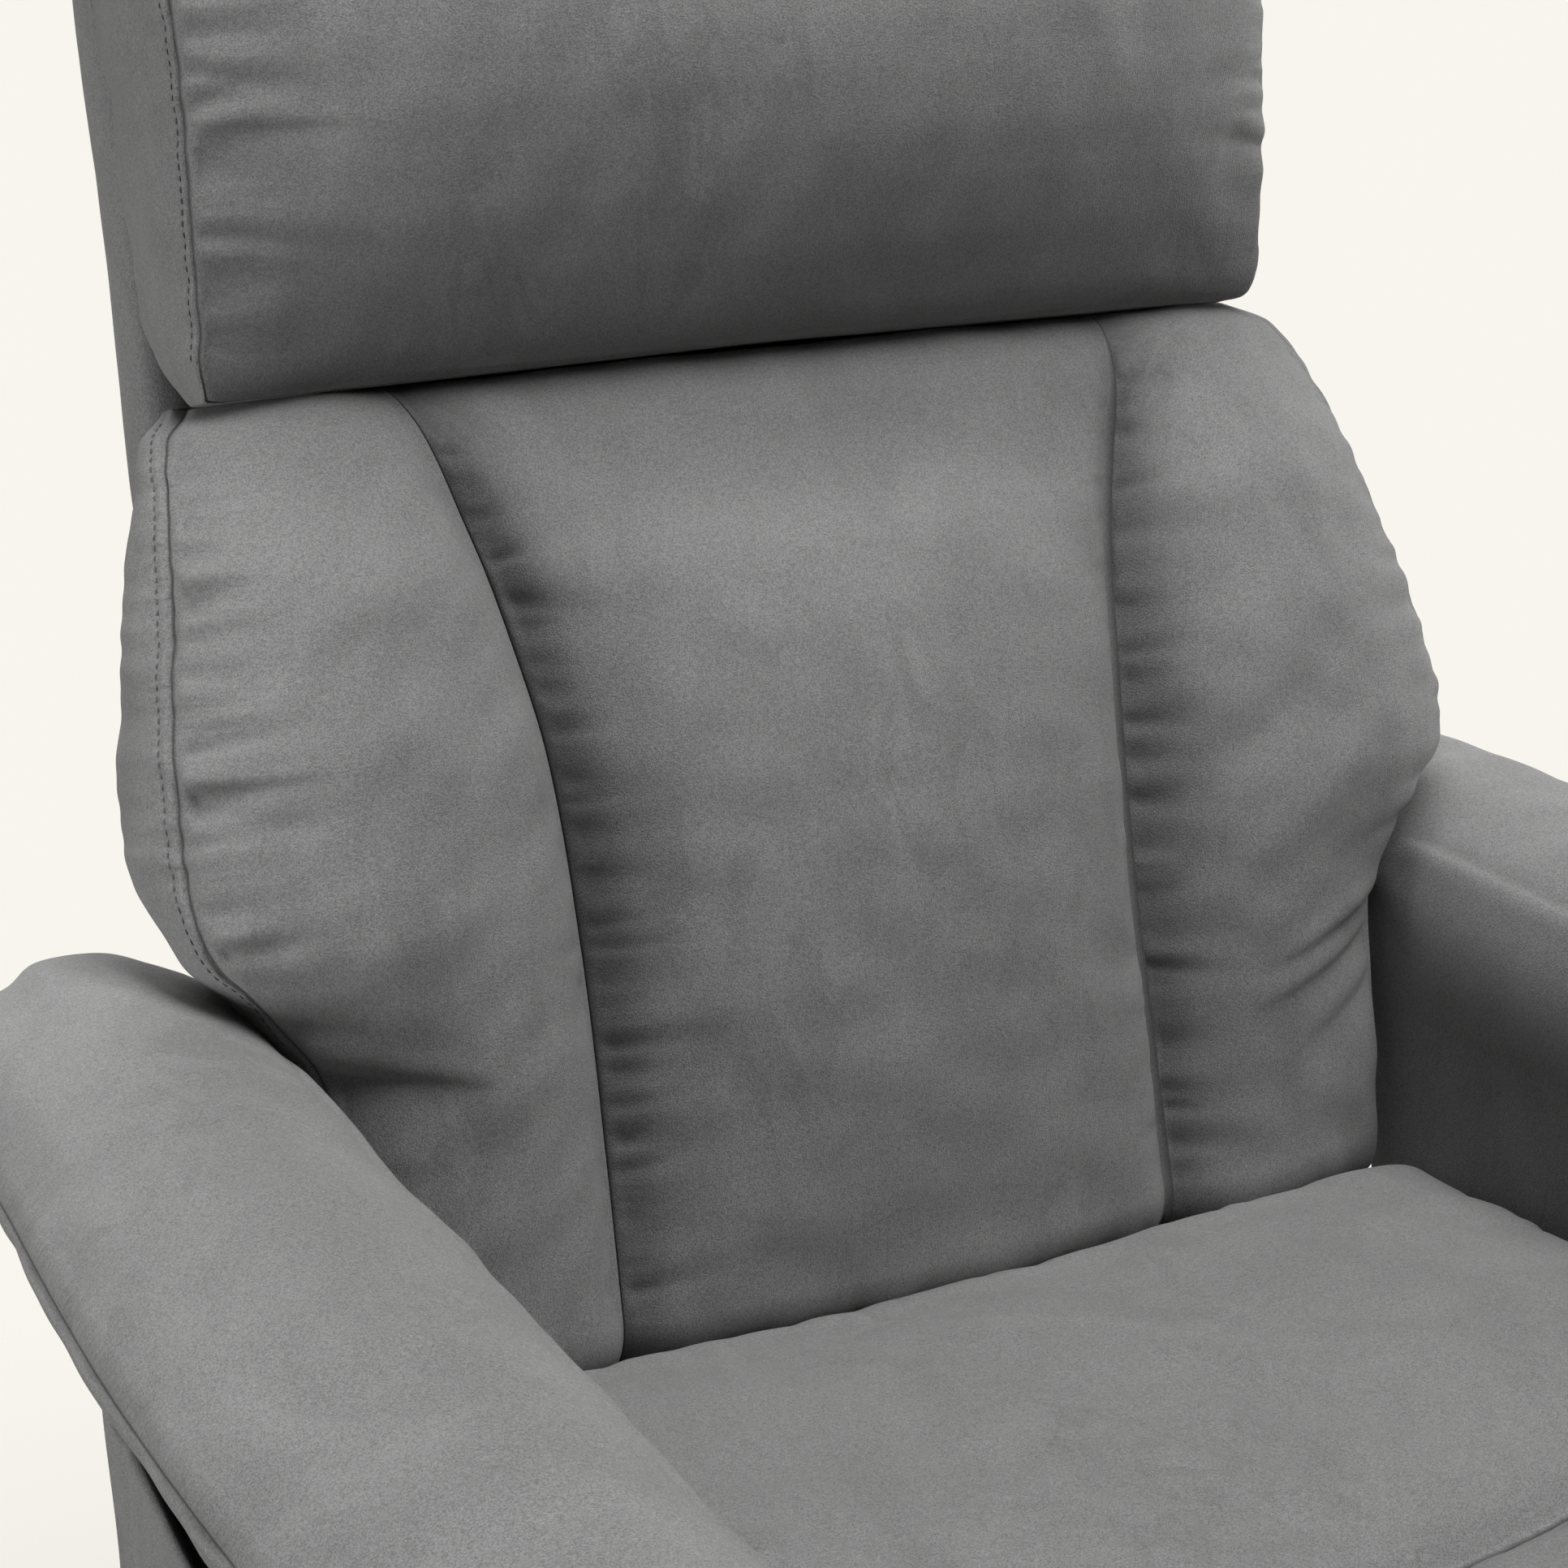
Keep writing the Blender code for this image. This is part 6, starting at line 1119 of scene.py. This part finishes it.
def suede(nap_group, name, dark, light):
    """Matte faux suede: brushed nap in two greys, fine grain in colour and bump, dark sewn lines with painted shade,
    and a soft sheen.
    """
    made, tree, shader = material_of(name)
    nap = node_of(tree, "ShaderNodeGroup", node_tree=nap_group).outputs
    level = ramp(tree, nap["Grain"], 0.33, 0.67, 0.70, 1.27)
    grey = node_of(tree, "ShaderNodeCombineColor", Red=level, Green=level, Blue=level).outputs["Color"]
    colour = blend_colours(tree, 1.0, blend_colours(tree, nap["Nap"], dark, light), grey, "MULTIPLY")
    colour = blend_colours(tree, maths(tree, "MULTIPLY", nap["Specks"], 0.55), colour, LINT)
    # This attribute darkens the sewn lines and also paints shade: seam valleys, hidden walls, the headrest's underside,
    # the arms' inner faces and the side panels' linings.
    sewn_and_shade = node_of(tree, "ShaderNodeAttribute", attribute_name="sewn_and_shade").outputs["Fac"]
    colour = blend_colours(tree, maths(tree, "MULTIPLY", sewn_and_shade, 0.82), colour, SEAM_AND_SHADE_DARK)
    gather = node_of(tree, "ShaderNodeAttribute", attribute_name="gather").outputs["Vector"]
    strength = node_of(tree, "ShaderNodeSeparateXYZ", Vector=gather).outputs["Z"]
    pleats = maths(tree, "MULTIPLY", noise(tree, stretched(tree, gather, (1.0, 1.0, 0.0)), 1.0, 1.0), strength)
    feed_all(tree, shader, {
        "Base Color": colour,
        "Roughness": ramp(tree, nap["Nap"], 0.0, 1.0, 0.97, 0.88),
        "Normal": bumped(tree, nap["Height"], 0.70, 0.0009, Normal=bumped(tree, pleats, 1.0, 0.0007)),
        "Specular IOR Level": 0.18,
        "Sheen Weight": 0.12,
        "Sheen Roughness": 0.45,
    })
    return made


def surface_wear():
    """Group: uneven tone, fine scratches and a pebbled height for hard finishes."""
    tree, given, out = shared_group("surface_wear", WEAR_SIZES, ("Tone", "Pebble", "Scratch"))
    where = object_places(tree)
    drawn_out = stretched(tree, where, (14.0, 1.0, 14.0), (0.3, 0.1, 0.0))
    feed_all(tree, out, {
        "Tone": noise(tree, where, given["Tone Size"], 4.0, 0.6),
        "Pebble": noise(tree, where, given["Pebble Size"], 1.0, 0.5),
        "Scratch": noise(tree, drawn_out, given["Scratch Size"], 3.0, 0.7),
    })
    return tree


def hard_finish(wear_group, name, dark, light, metallic, rough, bump_from, bump_strength, sizes):
    """A hard finish: two tones by the wear group, roughness that follows it, and a bump from pebbles or scratches."""
    made, tree, shader = material_of(name)
    group = node_of(tree, "ShaderNodeGroup", node_tree=wear_group)
    feed_all(tree, group, dict(zip(WEAR_SIZES, sizes)))
    wear = group.outputs
    shade = ramp(tree, weighted(tree, wear["Tone"], 0.7, wear[bump_from], 0.3), 0.32, 0.68)
    feed_all(tree, shader, {
        "Base Color": blend_colours(tree, shade, dark, light),
        "Roughness": ramp(tree, wear["Tone"], 0.3, 0.7, *rough),
        "Normal": bumped(tree, wear[bump_from], bump_strength, 0.0005),
        "Metallic": metallic,
    })
    return made


def plywood():
    """Birch plywood: thin plies across its thickness, and long grain along the board."""
    made, tree, shader = material_of("birch_plywood")
    where = object_places(tree)
    grain = noise(tree, stretched(tree, where, (9.0, 1.0, 9.0)), 26.0, 5.0, 0.65, 0.8)
    plies = node_of(tree, "ShaderNodeTexWave", wave_type="BANDS", bands_direction="X", Vector=where, Scale=110.0,
                    Distortion=0.6).outputs["Fac"]
    colour = blend_colours(tree, ramp(tree, grain, 0.3, 0.7), (0.42, 0.28, 0.16), (0.66, 0.49, 0.31))
    feed_all(tree, shader, {
        "Base Color": blend_colours(tree, maths(tree, "MULTIPLY", plies, 0.22), colour, (0.30, 0.19, 0.10)),
        "Roughness": ramp(tree, grain, 0.2, 0.8, 0.72, 0.52),
        "Normal": bumped(tree, grain, 0.2, 0.0004),
    })
    return made


def finishes():
    """The finish of each material slot of the record, and of the sewing thread."""
    wear, nap = surface_wear(), suede_nap()
    made = {"suede": suede(nap, "grey_suede", *SUEDE_GREYS), "thread": suede(nap, "grey_thread", *THREAD_GREYS)}
    made.update((slot, hard_finish(wear, *row)) for slot, row in HARD_FINISHES.items())
    made["plywood"] = plywood()
    return made


def seen_directly(tree):
    """1 for rays from the camera, off gloss or through glass, and 0 for the light that surfaces throw on each other."""
    rays = tree.nodes.new("ShaderNodeLightPath").outputs
    glossy = maths(tree, "MAXIMUM", rays["Is Camera Ray"], rays["Is Glossy Ray"])
    return maths(tree, "MAXIMUM", glossy, rays["Is Transmission Ray"])


def mix_shaders(tree, factor, first, second):
    """Two shaders mixed by a factor."""
    made = tree.nodes.new("ShaderNodeMixShader")
    for socket, value in zip(made.inputs, (factor, first, second)):
        tree.links.new(value, socket)
    return made.outputs[0]


def backdrop():
    """The pale background where it is seen directly, and a faint light from all round elsewhere."""
    world = bpy.data.worlds.new("studio")
    bpy.context.scene.world = world
    world.use_nodes = True
    tree = world.node_tree
    soft = tree.nodes["Background"]
    feed_all(tree, soft, {"Color": (1.0, 0.995, 0.985, 1.0), "Strength": AMBIENT})
    shown = node_of(tree, "ShaderNodeBackground", Color=(*BACKGROUND, 1.0), Strength=1.0)
    mixed = mix_shaders(tree, seen_directly(tree), soft.outputs[0], shown.outputs[0])
    tree.links.new(mixed, tree.nodes["World Output"].inputs["Surface"])


def pale_floor():
    """The floor's material: it keeps the object's shadow, glows in the backdrop's colour and fades at a distance."""
    made, tree, shader = material_of("pale_floor")
    seen = seen_directly(tree)
    feed_all(tree, shader, {"Base Color": blend_colours(tree, seen, FLOOR_BOUNCE, BACKGROUND), "Roughness": 0.9,
                            "Specular IOR Level": 0.1})
    glow = node_of(tree, "ShaderNodeEmission", Color=(*BACKGROUND, 1.0), Strength=1.0)
    lit = mix_shaders(tree, maths(tree, "MULTIPLY", seen, FLOOR_GLOW), shader.outputs[0], glow.outputs[0])
    away = node_of(tree, "ShaderNodeVectorMath", operation="LENGTH")
    tree.links.new(object_places(tree), away.inputs[0])
    clear = tree.nodes.new("ShaderNodeBsdfTransparent")
    faded = mix_shaders(tree, ramp(tree, away.outputs["Value"], *FLOOR_FADE), lit, clear.outputs[0])
    tree.links.new(faded, tree.nodes["Material Output"].inputs["Surface"])
    return made


def ground():
    """A round floor, as rings about the chair's axis."""
    rings, corners = 14, 96
    r = np.linspace(0.0, FLOOR_RADIUS, rings)[:, None]
    a = open_run(0.0, 2 * np.pi, corners)[None, :]
    places = np.stack([r * np.cos(a), r * np.sin(a), FLOOR_Z + 0 * r * a], axis=-1)
    quads, _ = faces_of(rings, corners, "strip")
    mesh = bpy.data.meshes.new("floor")
    mesh.from_pydata(places.reshape(-1, 3).tolist(), [], quads[:(rings - 1) * corners].tolist())
    mesh.materials.append(pale_floor())
    floor = placed("floor", mesh)


def lamps():
    """Soft area lights, each turned towards its aim."""
    for name, place, aim, size, power in LAMPS:
        lamp = bpy.data.lights.new(name, "AREA")
        lamp.shape = "RECTANGLE"
        lamp.size, lamp.size_y = size
        lamp.energy = power
        holder = placed(name, lamp)
        holder.location = place
        across, ahead, up = (aim[k] - place[k] for k in range(3))
        tilt = math.atan2(up, math.hypot(across, ahead))
        holder.rotation_euler = (0.5 * math.pi + tilt, 0.0, -math.atan2(across, ahead))


def photo_camera():
    """The photograph's camera."""
    camera = bpy.data.cameras.new("camera")
    camera.sensor_width = CAMERA_SENSOR
    camera.lens = CAMERA_SENSOR * CAMERA_FOCAL
    camera.clip_start = 0.02
    holder = placed("camera", camera)
    holder.location = CAMERA_PLACE
    holder.rotation_euler = (0.5 * math.pi - CAMERA_TILT, 0.0, -CAMERA_TURN)
    bpy.context.scene.camera = holder


def studio():
    """A pale floor that fades into the backdrop's colour, soft light from above and all round, and the camera."""
    bpy.context.scene.view_settings.view_transform = "Standard"
    backdrop()
    ground()
    lamps()
    photo_camera()


def dress():
    """Makes every soft piece, its stitching, and the finishes of the solids that stay in sight."""
    finish = finishes()
    for part in frame["record"]["subparts"]:
        node = frame["nodes"][part["node"]]
        made = finish[part["material_slot"]]
        if not node.material_slots:
            node.data.materials.append(made)
        for place in node.material_slots:
            place.material = made
    wings = {side: back_wing(side, sign) for side, sign in SIDES}
    pillow = headrest()
    pads = [pillow, back_centre(), *wings.values(), seat(), leg_rest()]
    pads += [arm(side, sign) for side, sign in SIDES]
    plump(pads)
    pads += [outer_back()] + [side_panel(side, sign) for side, sign in SIDES]
    for pad in pads:
        sew(pad, finish["suede"])
    lines = [(f"wing_stitches_{side}", pad, 0, WING_STITCH_ROWS) for side, pad in wings.items()]
    lines += [(f"headrest_stitches_{side}", pillow, index, HEADREST_STITCH_ROWS)
              for index, side in enumerate(("right", "left"))]
    for name, pad, index, rows in lines:
        path, out = (pad.stitch_line(index, rows, values) for values in (pad.grid, normals_of(pad.grid)))
        stitch_row(name, path, out, "back", finish["thread"])


studio()
dress()
